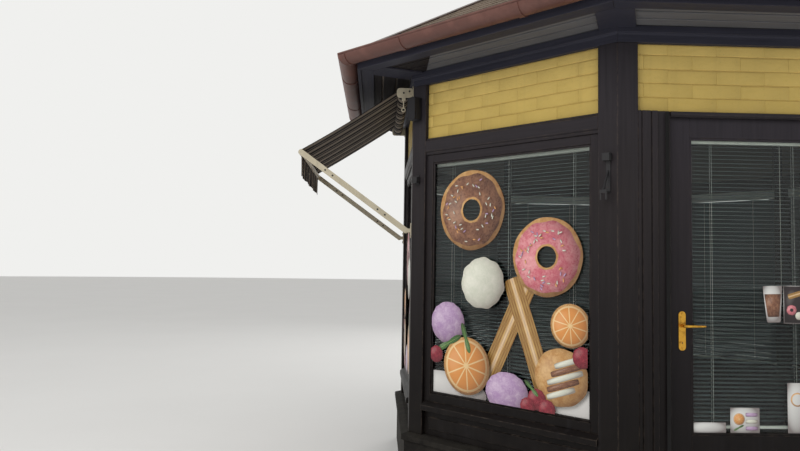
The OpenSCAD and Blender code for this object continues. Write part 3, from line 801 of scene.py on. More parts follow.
@dataclass(frozen=True)
class Pane(Finish):
    """Clear window glass with faint smears and dust in its corners."""

    def dress(self, g: Graph) -> None:
        """Gives the shader the look of window glass.

        Args:
            g: Graph of the material.
        """
        spot = self.place(g)
        smear = g.noise(g.stretch(spot["Place"], (3.0, 3.0, 1.2)), 2.4, 5.0, 0.7, 0.6)
        g.shader.inputs["Transmission Weight"].default_value = 1.0
        g.shader.inputs["IOR"].default_value = 1.3
        self.coat(g, g.mix(smear, linear(self.tone), self.shades(0.93)),
                  g.span(smear, 0.55, 0.85, 0.0, 0.06))


@dataclass(frozen=True)
class Slat(Finish):
    """Coated aluminium of the blinds, with a little dust on top."""

    def dress(self, g: Graph) -> None:
        """Gives the shader the look of coated aluminium.

        Args:
            g: Graph of the material.
        """
        spot = self.place(g)
        dust = g.noise(spot["Place"], 14.0, 5.0, 0.65)
        up = g.split(g.add("NewGeometry").outputs["Normal"])[2]
        lying = g.times(g.span(up, 0.1, 0.9), g.span(dust, 0.35, 0.7, 0.15, 0.5))
        base = g.mix(dust, self.shades(0.9), self.shades(1.08))
        rough = g.span(lying, 0.0, 0.6, self.rough, self.rough + 0.3)
        fine = g.noise(spot["Place"], 420.0, 2.0, 0.5)
        self.coat(g, g.mix(lying, base, linear((90, 94, 92))), rough, g.bump(fine, 0.0001, 0.3))


@dataclass(frozen=True)
class Plastic(Finish):
    """Moulded plastic or lacquer with a fine pebble."""

    pebble: float = 0.0002

    def dress(self, g: Graph) -> None:
        """Gives the shader the look of moulded plastic.

        Args:
            g: Graph of the material.
        """
        spot = self.place(g)
        cloud = g.noise(spot["Place"], 8.0, 5.0, 0.6)
        fine = g.noise(spot["Place"], 520.0, 3.0, 0.6)
        scuff = g.times(g.value("edge"), g.span(cloud, 0.4, 0.6, 0.1, 0.5))
        base = g.mix(cloud, self.shades(0.88), self.shades(1.1))
        self.coat(g, g.mix(scuff, base, self.shades(1.7)), self.gloss(g, cloud, -0.05, 0.12),
                  g.bump(fine, self.pebble, 0.5), 0.25)


class Band(Enum):
    """Light bands of a striped cloth, each from one share of a repeat to another."""

    AWNING = ((0.05, 0.42), (0.62, 0.72))


@dataclass(frozen=True)
class StripedCloth(Finish):
    """Woven awning cloth with stripes down its length and dust in its weave."""

    light: Tone = (158, 147, 134)
    repeat: float = 0.18
    threads: float = 5200.0
    bands: Band = Band.AWNING

    def dress(self, g: Graph) -> None:
        """Gives the shader the look of striped cloth.

        Args:
            g: Graph of the material.
        """
        lay = g.add("UVMap", uv_map="lay").outputs[0]
        x, y, _ = g.split(lay)
        step = g.math("FRACT", g.math("DIVIDE", x, self.repeat))
        mask = None
        for low, high in self.bands.value:
            inside = g.times(g.math("GREATER_THAN", step, low), g.math("LESS_THAN", step, high))
            mask = inside if mask is None else g.math("ADD", mask, inside, clamp=True)
        stain = g.noise(g.stretch(lay, (7.0, 2.0, 1.0)), 1.0, 6.0, 0.65)
        thread = g.times(g.math("SINE", g.times(x, self.threads)), g.math("SINE", g.times(y, self.threads)))
        base = g.mix(mask, linear(self.tone), linear(self.light))
        base = g.mix(g.span(stain, 0.35, 0.75, 0.0, 0.5), base, self.shades(0.6))
        base = g.mix(g.span(thread, -1.0, 1.0, 0.0, 0.18), base, linear((30, 29, 30)))
        self.coat(g, base, self.gloss(g, stain, 0.0, 0.1),
                  g.bump(g.plus(thread, stain), 0.0004, 0.5), 0.12)


UPRIGHT_TIMBER = PaintedTimber("timber_upright", "dark_timber", (40, 36, 37), 0.44)
LEVEL_TIMBER = PaintedTimber("timber_level", "dark_timber", (40, 36, 37), 0.44, Lay.LEVEL)
DOOR_TIMBER = PaintedTimber("door_timber", "dark_timber", (42, 38, 41), 0.38, Lay.UPRIGHT, 0.4)
EAVES_TIMBER = PaintedTimber("eaves_timber", "dark_timber", (44, 43, 49), 0.5, Lay.LEVEL, 0.3)
INNER_BOARD = PaintedTimber("inner_board", "soffit_boards", (66, 62, 56), 0.6, Lay.LEVEL, 0.3)
SOFFIT_BOARD = PaintedTimber("soffit_board", "soffit_boards", (85, 83, 81), 0.55, Lay.LEVEL, 0.3)
# Painted shade and painted highlight of the soffit: the shaded board stands in for shade on one side, and
# the groove highlight for light caught in its grooves.
SHADED_BOARD = PaintedTimber("shaded_board", "soffit_boards", (30, 26, 25), 0.6, Lay.LEVEL, 0.2)
GROOVE_HIGHLIGHT = PaintedTimber("groove_highlight", "soffit_boards", (110, 100, 88), 0.7, Lay.LEVEL, 0.1)
GROOVE = PaintedTimber("board_groove", "soffit_boards", (14, 13, 13), 0.8, Lay.LEVEL, 0.1)
BRICK = PaintedBrick("painted_brick", "yellow_brick", (192, 165, 88), 0.62)
BRICK_JOINT = PaintedBrick("painted_joint", "yellow_brick", (170, 142, 74), 0.7)
PLASTER = Grit("inner_plaster", "yellow_brick", (120, 115, 105), 0.8, 90.0, 0.0006, 0.08, 0.1)
# The plinth render is near black. This is partly a dark render and partly painted shade at the kiosk's
# foot.
RENDER = Grit("plinth_render", "plinth_render", (24, 22, 21), 0.85, 130.0, 0.0016, 0.3, 0.5)
CONCRETE = Grit("floor_concrete", "floor_concrete", (88, 84, 78), 0.75, 150.0, 0.0007, 0.16, 0.3)
SHINGLE = Grit("shingle_felt", "roof_shingles", (126, 112, 98), 0.92, 260.0, 0.0012, 0.42, 0.35)
SHINGLE_BED = Grit("shingle_bed", "roof_shingles", (58, 52, 48), 0.95, 220.0, 0.001, 0.3, 0.2)
GUTTER = PaintedMetal("gutter_paint", "gutter_paint", (98, 62, 54), 0.46, (132, 92, 82), 0.22)
HIP = PaintedMetal("hip_metal", "hip_metal", (78, 62, 56), 0.45, (104, 84, 74), 0.3)
ARM_METAL = PaintedMetal("awning_metal", "awning_metal", (192, 182, 158), 0.42, (206, 198, 178), 0.35)
IRON = PaintedMetal("black_iron", "black_iron", (34, 33, 35), 0.5, (62, 58, 56), 0.3)
BRASS = Brass("brass", "brass", (226, 172, 70), 0.24)
WINDOW_PANE = Pane("window_pane", "window_glass", (234, 240, 238), 0.0)
# The slats' dark teal is partly their own coat and partly painted shade of the dim room behind the glass.
# The rails of the same blinds are pale.
SLAT = Slat("blind_slat", "blind_slats", (80, 95, 97), 0.4)
RAIL = Slat("blind_rail", "blind_rail", (244, 243, 234), 0.4)
BOX = Plastic("box_plastic", "box_plastic", (32, 31, 34), 0.5)
CLOTH = StripedCloth("awning_cloth", "awning_cloth", (28, 27, 33), 0.85)
# Near-black strips on the jambs beside the door leaf: painted shadow of the rebate.
REBATE_SHADOW = Plastic("rebate_shadow", "dark_timber", (12, 11, 11), 0.6)


def dress(node: str, *finishes: Finish) -> None:
    """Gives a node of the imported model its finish.

    Args:
        node: Name of the node.
        finishes: Finish of each of its material slots.
    """
    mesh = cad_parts[node].data
    for i in range(max(1, len(mesh.materials))):
        material = finishes[min(i, len(finishes) - 1)].material()
        if i < len(mesh.materials):
            mesh.materials[i] = material
        else:
            mesh.materials.append(material)
    log.info("%s: dressed as %s", node, finishes[0].name)


@dataclass
class Joinery:
    """Timber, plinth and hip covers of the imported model, with their sharp edges eased."""

    works: Tuple[Tuple[str, str, Finish, float], ...] = (
        ("corner_posts", "kiosk", UPRIGHT_TIMBER, 0.004),
        ("lower_panels", "kiosk", LEVEL_TIMBER, 0.003),
        ("window_sills", "kiosk", LEVEL_TIMBER, 0.003),
        ("sash_stiles", "kiosk", UPRIGHT_TIMBER, 0.003),
        ("sash_rails", "kiosk", LEVEL_TIMBER, 0.003),
        ("transom_rails", "kiosk", LEVEL_TIMBER, 0.002),
        ("ring_beam", "kiosk", EAVES_TIMBER, 0.002),
        ("door_jambs", "kiosk", UPRIGHT_TIMBER, 0.0015),
        ("door_head", "kiosk", LEVEL_TIMBER, 0.002),
        ("eaves_boards", "kiosk", EAVES_TIMBER, 0.002),
        ("soffit_covers", "kiosk", EAVES_TIMBER, 0.002),
        ("fascia", "kiosk", EAVES_TIMBER, 0.002),
        ("plinth", "kiosk", RENDER, 0.004),
        ("plinth_ledge", "kiosk", RENDER, 0.004),
        ("door_threshold", "kiosk", CONCRETE, 0.004),
        ("hip_covers", "kiosk", HIP, 0.0015),
        ("door_stiles", "door", DOOR_TIMBER, 0.003),
        ("door_rails", "door", DOOR_TIMBER, 0.003),
        ("door_panel", "door", DOOR_TIMBER, 0.003),
    )

    def build(self) -> None:
        """Makes one eased copy of each node."""
        for node, body, finish, width in self.works:
            self.copy(node, body, finish, width)

    def copy(self, node: str, body: str, finish: Finish, width: float) -> None:
        """Copies a node, joins its loose triangles and rounds its edges.

        Args:
            node: Name of the node.
            body: Body that carries it.
            finish: Finish of the copy.
            width: Width of the rounding.
        """
        form = Form(node + "_eased")
        part = bmesh.new()
        part.from_mesh(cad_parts[node].data)
        bmesh.ops.remove_doubles(part, verts=part.verts, dist=0.00002)
        bmesh.ops.dissolve_limit(part, angle_limit=0.01, verts=part.verts, edges=part.edges,
                                 use_dissolve_boundaries=False)
        for f in part.faces:
            f.smooth = False
            f.material_index = 0
        soften(part, width)
        form.keep(part)
        form.finish(body, [finish], [node])


@dataclass
class BrickFrieze:
    """Band of painted brickwork between the posts, above windows and door."""

    course: float = 0.076
    length: float = 0.262
    joint: float = 0.0014
    perpend: float = 0.0006
    face: float = -0.028
    depth: float = 0.12
    foot: float = PLAN.frieze_z
    top: float = PLAN.beam_z
    relief: float = 0.0032
    skin: float = 0.02
    bed: float = 0.03
    rounding: float = 0.006
    arris: float = 0.0006
    shortest: float = 0.012

    def build(self) -> None:
        """Makes the bricks of all eight sides, and the wall behind them."""
        form = Form("painted_bricks")
        half = PLAN.bay_half
        for bay in range(SIDES):
            rng = random.Random(40 + bay)
            turn = PLAN.turn(bay)
            for slot, back, front in ((1, self.bed, self.relief), (2, self.depth, self.bed)):
                form.block((-half, half), (self.face - back, self.face - front), (self.foot, self.top),
                           turn, slot=slot)
            row, z = 0, self.foot + 0.001
            while z < self.top - self.skin:
                self.lay_course(form, turn, rng, row, z, half)
                z += self.course
                row += 1
        form.finish("kiosk", [BRICK, BRICK_JOINT, PLASTER], ["brick_frieze"])

    def lay_course(self, form: Form, turn: Matrix, rng: random.Random, row: int, z: float,
                   half: float) -> None:
        """Lays one course in running bond.

        Args:
            form: Mesh to add to.
            turn: Turn to the side.
            rng: Seeded chance for this side.
            row: Number of the course.
            z: Its foot.
            half: Half the width of the side.
        """
        top = min(z + self.course - self.joint * rng.uniform(0.6, 1.3), self.top - 0.001)
        x = -half - (self.length * (0.35 + 0.5 * (row % 2)))
        while x < half:
            a = max(x + self.perpend / 2, -half + 0.001)
            b = min(x + self.length - self.perpend / 2, half - 0.001)
            x += self.length
            if b - a < self.shortest:
                continue
            lift = rng.uniform(-0.0006, 0.0)
            high = top - rng.choice((0.0, 0.0, 0.0012, 0.003))
            part = box((b - a, self.skin, high - z),
                       PLAN.at((a + b) / 2, self.face + lift - self.skin / 2, (z + high) / 2))
            for v in part.verts:
                v.co += Vector((0, 0, rng.uniform(-0.0016, 0.0006)))
            bevel(part, [e for e in part.edges if abs(e.verts[0].co.x - e.verts[1].co.x) > 0.01],
                  self.rounding, 3)
            bevel(part, [e for e in part.edges if e.calc_face_angle(0) > 1.0 and e.calc_length() > 0.03
                         and abs(e.verts[0].co.x - e.verts[1].co.x) < 0.001], self.arris, 1)
            for f in part.faces:
                f.smooth = abs(f.normal.x) < 0.5
            form.keep(part, turn, 0, rng.random())


@dataclass
class Roof:
    """Shingle courses on the eight slopes, clipped under the hip covers."""

    pitch: float = math.radians(30)
    reach: float = 0.411
    eave_top: float = 2.85886
    eave_foot: float = 2.82422
    exposure: float = 0.145
    tab: float = 0.32
    slot: float = 0.006
    rise: float = 2.26
    drop: float = 0.0095
    overrun: float = 0.14
    bed_wide: float = 2.4
    lap: float = 0.02
    thick: float = 0.0045

    def build(self) -> None:
        """Makes the covering of all eight slopes."""
        form = Form("shingle_roof")
        for bay in range(SIDES):
            self.slope(form, bay)
        form.finish("kiosk", [SHINGLE, SHINGLE_BED], ["roof_panels"])

    def lie(self) -> Matrix:
        """Returns the transform from the slope's own plane to the door side."""
        eave = Matrix.Translation(PLAN.at(0, self.reach, self.eave_top))
        return eave @ Matrix.Rotation(self.pitch, 4, "X")

    def slope(self, form: Form, bay: int) -> None:
        """Covers one slope.

        Args:
            form: Mesh to add to.
            bay: Number of the side.
        """
        rng = random.Random(900 + bay)
        lie = self.lie()
        thick = (self.eave_top - self.eave_foot) * math.cos(self.pitch) - self.drop
        long = self.rise + self.overrun
        bed = box((self.bed_wide, long, thick), (0, long / 2, -self.drop - thick / 2))
        bmesh.ops.transform(bed, matrix=lie, verts=bed.verts)
        clip(bed, PLAN.at(0, self.reach - 0.002, 0), Vector((0, -1, 0)))
        mitre(bed)
        form.keep(bed, PLAN.turn(bay), 1)
        for row in range(int(self.rise / self.exposure)):
            s0 = row * self.exposure
            half = (PLAN.apothem + self.reach - s0 * math.cos(self.pitch)) * math.tan(EIGHTH / 2)
            x = -half - self.tab * rng.uniform(0.2, 0.9)
            while x < half:
                part = self.shingle(x, s0, rng)
                x += self.tab
                bmesh.ops.transform(part, matrix=lie, verts=part.verts)
                mitre(part, 0.001)
                if part.faces:
                    form.keep(part, PLAN.turn(bay), 0, rng.random())
                else:
                    part.free()

    def shingle(self, x: float, s0: float, rng: random.Random) -> Mesh:
        """Makes one tab in the slope's plane, thick at its lower edge.

        Args:
            x: Its left end.
            s0: Its lower edge up the slope.
            rng: Seeded chance for this slope.

        Returns:
            The tab as a small mesh.
        """
        length = self.exposure + self.lap
        part = box((self.tab - self.slot, length, self.thick),
                   (x + self.tab / 2, s0 + length / 2 + rng.uniform(-0.003, 0.003), 0))
        lift = rng.uniform(-0.0012, 0.0)
        for v in part.verts:
            low = 1 - (v.co.y - s0) / length
            v.co.z += -0.0085 + 0.0058 * low + lift * low
            if low > 0.9 and v.co.z > -0.003:
                v.co.x += rng.uniform(-0.002, 0.002)
        return part


@dataclass
class Eaves:
    """Boards under the roof overhang; one side, and its neighbour past a line, are painted dark as shade,
    with painted highlights in their grooves.
    """

    board_edges: Tuple[float, ...] = (-0.06, 0.0145, 0.111, 0.2075, 0.304, 0.353)
    groove: float = 0.014
    thick: float = 0.01
    ease: float = 0.0025
    run: float = 2.2
    back: Pair = (0.1465, 0.413)
    top: float = 2.783
    # Side whose boards are painted dark as shade, with painted highlights in its grooves.
    shaded_bay: int = 2
    # Line on the neighbouring side past which its boards take the same painted shade.
    shade_edge: Tuple[Vector, Vector] = (PLAN.at(-0.385, 0.226, 0), Vector((-0.7071, -0.7071, 0)))

    def build(self) -> None:
        """Makes the boards of all eight sides."""
        form = Form("soffit_planks")
        for bay in range(SIDES):
            rng = random.Random(70 + bay)
            shaded = bay == self.shaded_bay
            for low, high in zip(self.board_edges, self.board_edges[1:]):
                tint = rng.random()
                if bay == self.shaded_bay - 1:
                    point, outward = self.shade_edge
                    form.keep(self.board(low, high, point, outward), PLAN.turn(bay), 0, tint)
                    form.keep(self.board(low, high, point, -outward), PLAN.turn(bay), 2, tint)
                else:
                    form.keep(self.board(low, high), PLAN.turn(bay), 2 if shaded else 0, tint)
            middle, deep = self.back
            back = box((self.run, deep, self.top - PLAN.soffit_z - self.thick),
                       PLAN.at(0, middle, (self.top + PLAN.soffit_z + self.thick) / 2))
            mitre(back)
            # Behind the grooves of the shaded side goes the painted highlight.
            form.keep(back, PLAN.turn(bay), 3 if shaded else 1)
        form.finish("kiosk", [SOFFIT_BOARD, GROOVE, SHADED_BOARD, GROOVE_HIGHLIGHT], ["soffit"])

    def board(self, low: float, high: float, point: Optional[Vector] = None,
              outward: Optional[Vector] = None) -> Mesh:
        """Makes one board on the door side, cut off at the edge of the painted shade where one is given.

        Args:
            low: Its inner edge, out from the wall.
            high: Its outer edge.
            point: A point of that edge.
            outward: Way towards what is cut off.

        Returns:
            The board.
        """
        part = box((self.run, high - low - self.groove, self.thick),
                   PLAN.at(0, (low + high) / 2, PLAN.soffit_z + self.thick / 2))
        mitre(part)
        if point is not None:
            clip(part, point, outward)
        soften(part, self.ease)
        return part


@dataclass
class Blind:
    """Venetian blind: slats, head and bottom rails and the tapes that carry the slats."""

    half: float
    foot: float
    head: float
    head_high: float
    front: float
    deep: float
    slat: float = 0.024
    pitch: float = 0.0215
    tilt: float = math.radians(34)
    tapes: Tuple[float, ...] = (-0.47, 0.0, 0.47)
    lip: float = 0.0
    camber: float = 0.0022
    gauge: float = 0.0004
    rail: Pair = (0.009, 0.016)
    cord: float = 0.0009

    def leaf(self) -> Mesh:
        """Makes one curved slat, tilted about its own middle.

        Returns:
            The slat as a small mesh.
        """
        part = bmesh.new()
        bmesh.ops.create_grid(part, x_segments=1, y_segments=4, size=0.5)
        bmesh.ops.scale(part, vec=Vector((2 * self.half, self.slat, 1)), verts=part.verts)
        for v in part.verts:
            v.co.z = self.camber * (1 - (v.co.y / (self.slat / 2)) ** 2)
            v.co.x -= 0.0001 if v.co.x > 0 else -0.0001
        for f in part.faces:
            f.smooth = True
        bmesh.ops.solidify(part, geom=part.faces, thickness=self.gauge)
        bmesh.ops.recalc_face_normals(part, faces=part.faces)
        bmesh.ops.rotate(part, matrix=Matrix.Rotation(self.tilt, 3, "X"), verts=part.verts)
        return part

    def hang(self, form: Form, turn: Matrix, rng: random.Random) -> None:
        """Hangs the blind on one side.

        Args:
            form: Mesh to add to; slot 0 is the slats and slot 1 the rails and tapes.
            turn: Turn to the side.
            rng: Seeded chance.
        """
        middle = -(self.front + self.deep / 2)
        rail_deep, rail_high = self.rail
        top = self.head - self.head_high
        if self.lip:
            form.block((-self.half - 0.003, self.half + 0.003),
                       (-self.front - self.deep + 0.001, -self.front - 0.0005),
                       (top - self.lip, top - 0.0005), turn, 0.002, slot=1)
        z = top - self.lip - rail_high
        count = 0
        while z > self.foot + 0.03:
            part = self.leaf()
            sway = (Matrix.Rotation(rng.uniform(-0.0012, 0.0012), 4, "Y")
                    @ Matrix.Rotation(rng.uniform(-0.05, 0.05), 4, "X"))
            form.keep(part, turn @ Matrix.Translation(PLAN.at(0, middle, z)) @ sway, 0, rng.random())
            z -= self.pitch
            count += 1
        form.block((-self.half, self.half), (middle - rail_deep, middle + rail_deep),
                   (self.foot, self.foot + rail_high), turn, 0.003, slot=1)
        for x in self.tapes:
            for out in (-self.deep / 2 + 0.002, self.deep / 2 - 0.002):
                form.rod(PLAN.at(x, middle + out, self.foot + 0.01), PLAN.at(x, middle + out, top + 0.002),
                         self.cord, turn=turn, slot=1)
        log.info("blind: %d slats", count)


def bead_round(form: Form, half: float, z: Pair, wide: float, out: Pair, turn: Matrix = FLAT) -> None:
    """Adds the four slim beads that hold a pane in its sash.

    Args:
        form: Mesh to add to.
        half: Half the clear width of the sash.
        z: Foot and top of the clear opening.
        wide: Width of a bead.
        out: Its back and front, as distances out from the post faces.
        turn: Turn to the side.
    """
    for way in (-1, 1):
        form.block(tuple(sorted((way * half, way * (half - wide)))), out, z, turn, 0.003)
    for foot in (z[0], z[1] - wide):
        form.block((-half + wide, half - wide), out, (foot, foot + wide), turn, 0.003)


@dataclass
class Windows:
    """Blinds and glazing beads of the seven windows."""

    back: float = 0.069
    deep: float = 0.028
    head_high: float = 0.058
    sash: float = 0.052
    bead: float = 0.011
    bead_out: Pair = (-0.0392, -0.026)
    open_bays: Tuple[int, ...] = (1, 2, 7)

    def build(self) -> None:
        """Makes the blinds of the seven windows and dresses the panes."""
        slats = Form("window_slats")
        for bay in range(1, SIDES):
            blind = Blind(half=PLAN.bay_half - 0.008, foot=PLAN.sash_z + 0.04, head=PLAN.sash_top,
                          head_high=self.head_high, front=self.back, deep=self.deep,
                          tapes=(-0.43, 0.0, 0.43), lip=0.018,
                          tilt=math.radians(13 if bay in self.open_bays else 64))
            blind.hang(slats, PLAN.turn(bay), random.Random(300 + bay))
        slats.finish("kiosk", [SLAT, RAIL], ["window_blinds"])
        beads = Form("glazing_beads")
        clear = (PLAN.sash_z + self.sash, PLAN.sash_top - self.sash)
        for bay in range(1, SIDES):
            bead_round(beads, PLAN.bay_half - self.sash, clear, self.bead, self.bead_out, PLAN.turn(bay))
        beads.finish("kiosk", [UPRIGHT_TIMBER])
        dress("window_glass", WINDOW_PANE)
        dress("blind_headrails", RAIL)


class Motif(Enum):
    """Subjects of the printed window films."""

    DOUGH = "dough"
    ICING = "icing"
    CREAM = "cream"
    WAFER = "wafer"
    CITRUS = "citrus"
    LEAF = "leaf"
    BERRY = "berry"
    PLATE = "plate"
    PAPER = "paper"


@dataclass(frozen=True)
class FilmPrint(Finish):
    """Ink on film or card, shaded as a printed picture of a sweet, a fruit or a leaf."""

    motif: Motif = Motif.CREAM
    second: Tone = (240, 236, 220)

    def dress(self, g: Graph) -> None:
        """Gives the shader the colours of the print.

        Args:
            g: Graph of the material.
        """
        lay = g.add("UVMap", uv_map="lay").outputs[0]
        fine = g.noise(lay, 16.0, 5.0, 0.7)
        share, lit = self.lattice(g, lay) if self.motif is Motif.WAFER else self.picture(g, lay, fine)
        base = g.mix(share, linear(self.tone), linear(self.second))
        base = g.mix(g.span(lit, 0.0, 0.62), g.tinted(base, (0.34, 0.3, 0.3)), base)
        base = g.wash(base, g.span(lit, 0.55, 0.95), 0.35, linear((255, 250, 240)))
        self.coat(g, base, self.gloss(g, fine, -0.04, 0.06), g.bump(fine, 0.00005, 0.2))

    def lattice(self, g: Graph, lay: Socket) -> Tuple[Socket, Socket]:
        """Draws the crossed ribs of a wafer.

        Args:
            g: Graph of the material.
            lay: Place on the print.

        Returns:
            Share of the second colour, and how lit the print is.
        """
        u, v, _ = g.split(lay)
        lines = g.math("SINE", g.times(g.plus(u, g.times(v, 2.6)), 9.0))
        cross = g.math("SINE", g.times(g.math("SUBTRACT", u, g.times(v, 2.6)), 9.0))
        shape = g.math("SUBTRACT", 1.0, g.times(g.math("POWER", v, 2.0), 8.0), clamp=True)
        return g.span(g.math("MAXIMUM", lines, cross), 0.55, 0.95), g.plus(g.times(shape, 0.6), 0.25)

    def picture(self, g: Graph, lay: Socket, fine: Socket) -> Tuple[Socket, Socket]:
        """Draws a rounded subject: a fruit, a leaf, paper or something creamy.

        Args:
            g: Graph of the material.
            lay: Place on the print.
            fine: Fine cloud of the ink.

        Returns:
            Share of the second colour, and how lit the print is.
        """
        u, v, _ = g.split(lay)
        reach = g.math("SQRT", g.plus(g.times(u, u), g.times(v, v)))
        lit = g.plus(g.times(g.math("SUBTRACT", v, u), 0.22), 0.5)
        lit = g.math("SUBTRACT", lit, g.times(g.math("POWER", reach, 4.0), 0.35), clamp=True)
        if self.motif is Motif.CITRUS:
            angle = g.math("ARCTAN2", v, u)
            wedge = g.math("ABSOLUTE", g.math("SINE", g.times(angle, 5.0)))
            pith = g.math("LESS_THAN", g.times(wedge, g.plus(reach, 0.05)), 0.14)
            rind = g.times(g.math("GREATER_THAN", reach, 0.84), g.math("LESS_THAN", reach, 0.92))
            share = g.math("MAXIMUM", pith, rind)
        elif self.motif is Motif.LEAF:
            vein = g.math("ABSOLUTE", v)
            ribs = g.math("ABSOLUTE", g.math("SINE", g.times(g.plus(u, g.times(vein, 1.2)), 12.0)))
            share = g.math("MAXIMUM", g.math("LESS_THAN", vein, 0.035), g.math("LESS_THAN", ribs, 0.16))
        elif self.motif in (Motif.PAPER, Motif.PLATE):
            share = g.span(fine, 0.4, 0.7, 0.0, 0.25)
        else:
            grain = g.noise(lay, 3.2, 7.0, 0.66, 0.8)
            share = g.span(g.plus(g.times(grain, 0.7), g.times(fine, 0.3)), 0.42, 0.66)
        return share, lit


DOUGH = FilmPrint("print_dough", "window_glass", (188, 136, 78), 0.3, Motif.DOUGH, (222, 182, 122))
COCOA = FilmPrint("print_cocoa", "window_glass", (112, 72, 54), 0.28, Motif.ICING, (176, 128, 96))
ROSE = FilmPrint("print_rose", "window_glass", (206, 104, 118), 0.28, Motif.ICING, (236, 172, 172))
CREAM = FilmPrint("print_cream", "window_glass", (214, 216, 198), 0.3, Motif.CREAM, (234, 232, 218))
LILAC = FilmPrint("print_lilac", "window_glass", (176, 142, 184), 0.3, Motif.CREAM, (214, 192, 214))
PEACH = FilmPrint("print_peach", "window_glass", (224, 150, 78), 0.3, Motif.CITRUS, (240, 206, 150))
CRIMSON = FilmPrint("print_crimson", "window_glass", (120, 26, 44), 0.28, Motif.BERRY, (172, 60, 72))
GREEN = FilmPrint("print_green", "window_glass", (64, 104, 52), 0.3, Motif.LEAF, (128, 158, 92))
WAFER = FilmPrint("print_wafer", "window_glass", (206, 166, 98), 0.3, Motif.WAFER, (168, 118, 60))
CHINA = FilmPrint("print_china", "window_glass", (216, 214, 210), 0.3, Motif.PLATE, (200, 198, 196))
CARD = FilmPrint("card_white", "window_glass", (214, 214, 210), 0.5, Motif.PAPER, (204, 204, 202))
CARD_DARK = FilmPrint("card_dark", "window_glass", (50, 40, 42), 0.4, Motif.PAPER, (62, 50, 50))
INKS: Tuple[Finish, ...] = (DOUGH, COCOA, ROSE, CREAM, LILAC, PEACH, CRIMSON, GREEN, WAFER, CHINA, CARD,
                            CARD_DARK)


@dataclass
class Film:
    """Printed shapes that are cut out and stuck on a pane."""

    form: Form
    window: Tuple[float, float, float, float]
    out: float
    turn: Matrix = FLAT
    flip: int = 1
    layer: float = 0.00025
    count: int = 0

    def cut(self, ink: Finish, x: float, z: float, wide: float, high: float, roll: float = 0.0,
            edge: Optional[Edge] = None, hole: float = 0.0, sides: int = 56) -> None:
        """Sticks one cut-out shape on the pane, mirrored where the film is.

        Args:
            ink: Finish of the shape.
            x: Its middle along the side.
            z: Its middle above the ground.
            wide: Half its width.
            high: Half its height.
            roll: Turn of the shape in its own plane.
            edge: Share of its reach at each angle, or none for an ellipse.
            hole: Share of its reach that is cut out of its middle.
            sides: Points round it.
        """
        part = bmesh.new()
        uv = part.loops.layers.uv.new("lay")
        bmesh.ops.create_circle(part, cap_ends=True, segments=sides, radius=1.0)
        if edge is not None:
            for v in part.verts:
                v.co *= edge(math.atan2(v.co.y, v.co.x))
        if hole:
            disc = list(part.faces)
            bmesh.ops.inset_individual(part, faces=disc, thickness=0.0)
            inner = {v for f in disc for v in f.verts}
            bmesh.ops.scale(part, vec=Vector((hole, hole, 1)), verts=list(inner))
            bmesh.ops.delete(part, geom=disc, context="FACES_ONLY")
        for f in part.faces:
            for loop in f.loops:
                loop[uv].uv = (loop.vert.co.x, loop.vert.co.y)
        bmesh.ops.scale(part, vec=Vector((wide, high, 1)), verts=part.verts)
        self.count += 1
        out = self.out + self.layer * self.count
        stand = (Matrix.Translation(PLAN.at(self.flip * x, out, z))
                 @ Matrix.Rotation(math.radians(90), 4, "X") @ Matrix.Rotation(self.flip * roll, 4, "Z"))
        bmesh.ops.transform(part, matrix=stand, verts=part.verts)
        low_x, high_x, low_z, high_z = self.window
        for point, normal in (((low_x, 0, 0), (-1, 0, 0)), ((high_x, 0, 0), (1, 0, 0)),
                              ((0, 0, low_z), (0, 0, -1)), ((0, 0, high_z), (0, 0, 1))):
            bmesh.ops.bisect_plane(part, geom=everything(part), dist=1e-7, plane_co=point, plane_no=normal,
                                   clear_outer=True)
        if part.faces:
            self.form.keep(part, self.turn, INKS.index(ink))
        else:
            part.free()


def card_edge(angle: float) -> float:
    """Outline of a card with square corners, as the share of its reach at an angle."""
    return 1.0 / max(abs(math.cos(angle)), abs(math.sin(angle)))


def cup_edge(angle: float) -> float:
    """Outline of a cup that narrows to its foot, as the share of its reach at an angle."""
    x, z = math.cos(angle), math.sin(angle)
    return min(1.0 / max(abs(z), 1e-6), 0.86 / max(abs(x) - 0.16 * z, 1e-6))


def bar_edge(angle: float) -> float:
    """Outline of a bar with rounded ends, as the share of its reach at an angle."""
    return 1.0 / max(abs(math.cos(angle)) ** 8 + abs(math.sin(angle)) ** 8, 1e-6) ** 0.125


def leaf_edge(angle: float) -> float:
    """Outline of a pointed leaf, as the share of its reach at an angle."""
    return 0.25 + 0.75 * abs(math.cos(angle)) ** 3


def frill(count: int, depth: float) -> Edge:
    """Makes the outline of a wavy round.

    Args:
        count: Number of waves.
        depth: Depth of the waves.

    Returns:
        The share of its reach at an angle.
    """
    def reach(angle: float) -> float:
        """Share of the reach at an angle."""
        return 1.0 - depth + depth * math.sin(count * angle) * math.cos(2.3 * angle + 1)
    return reach


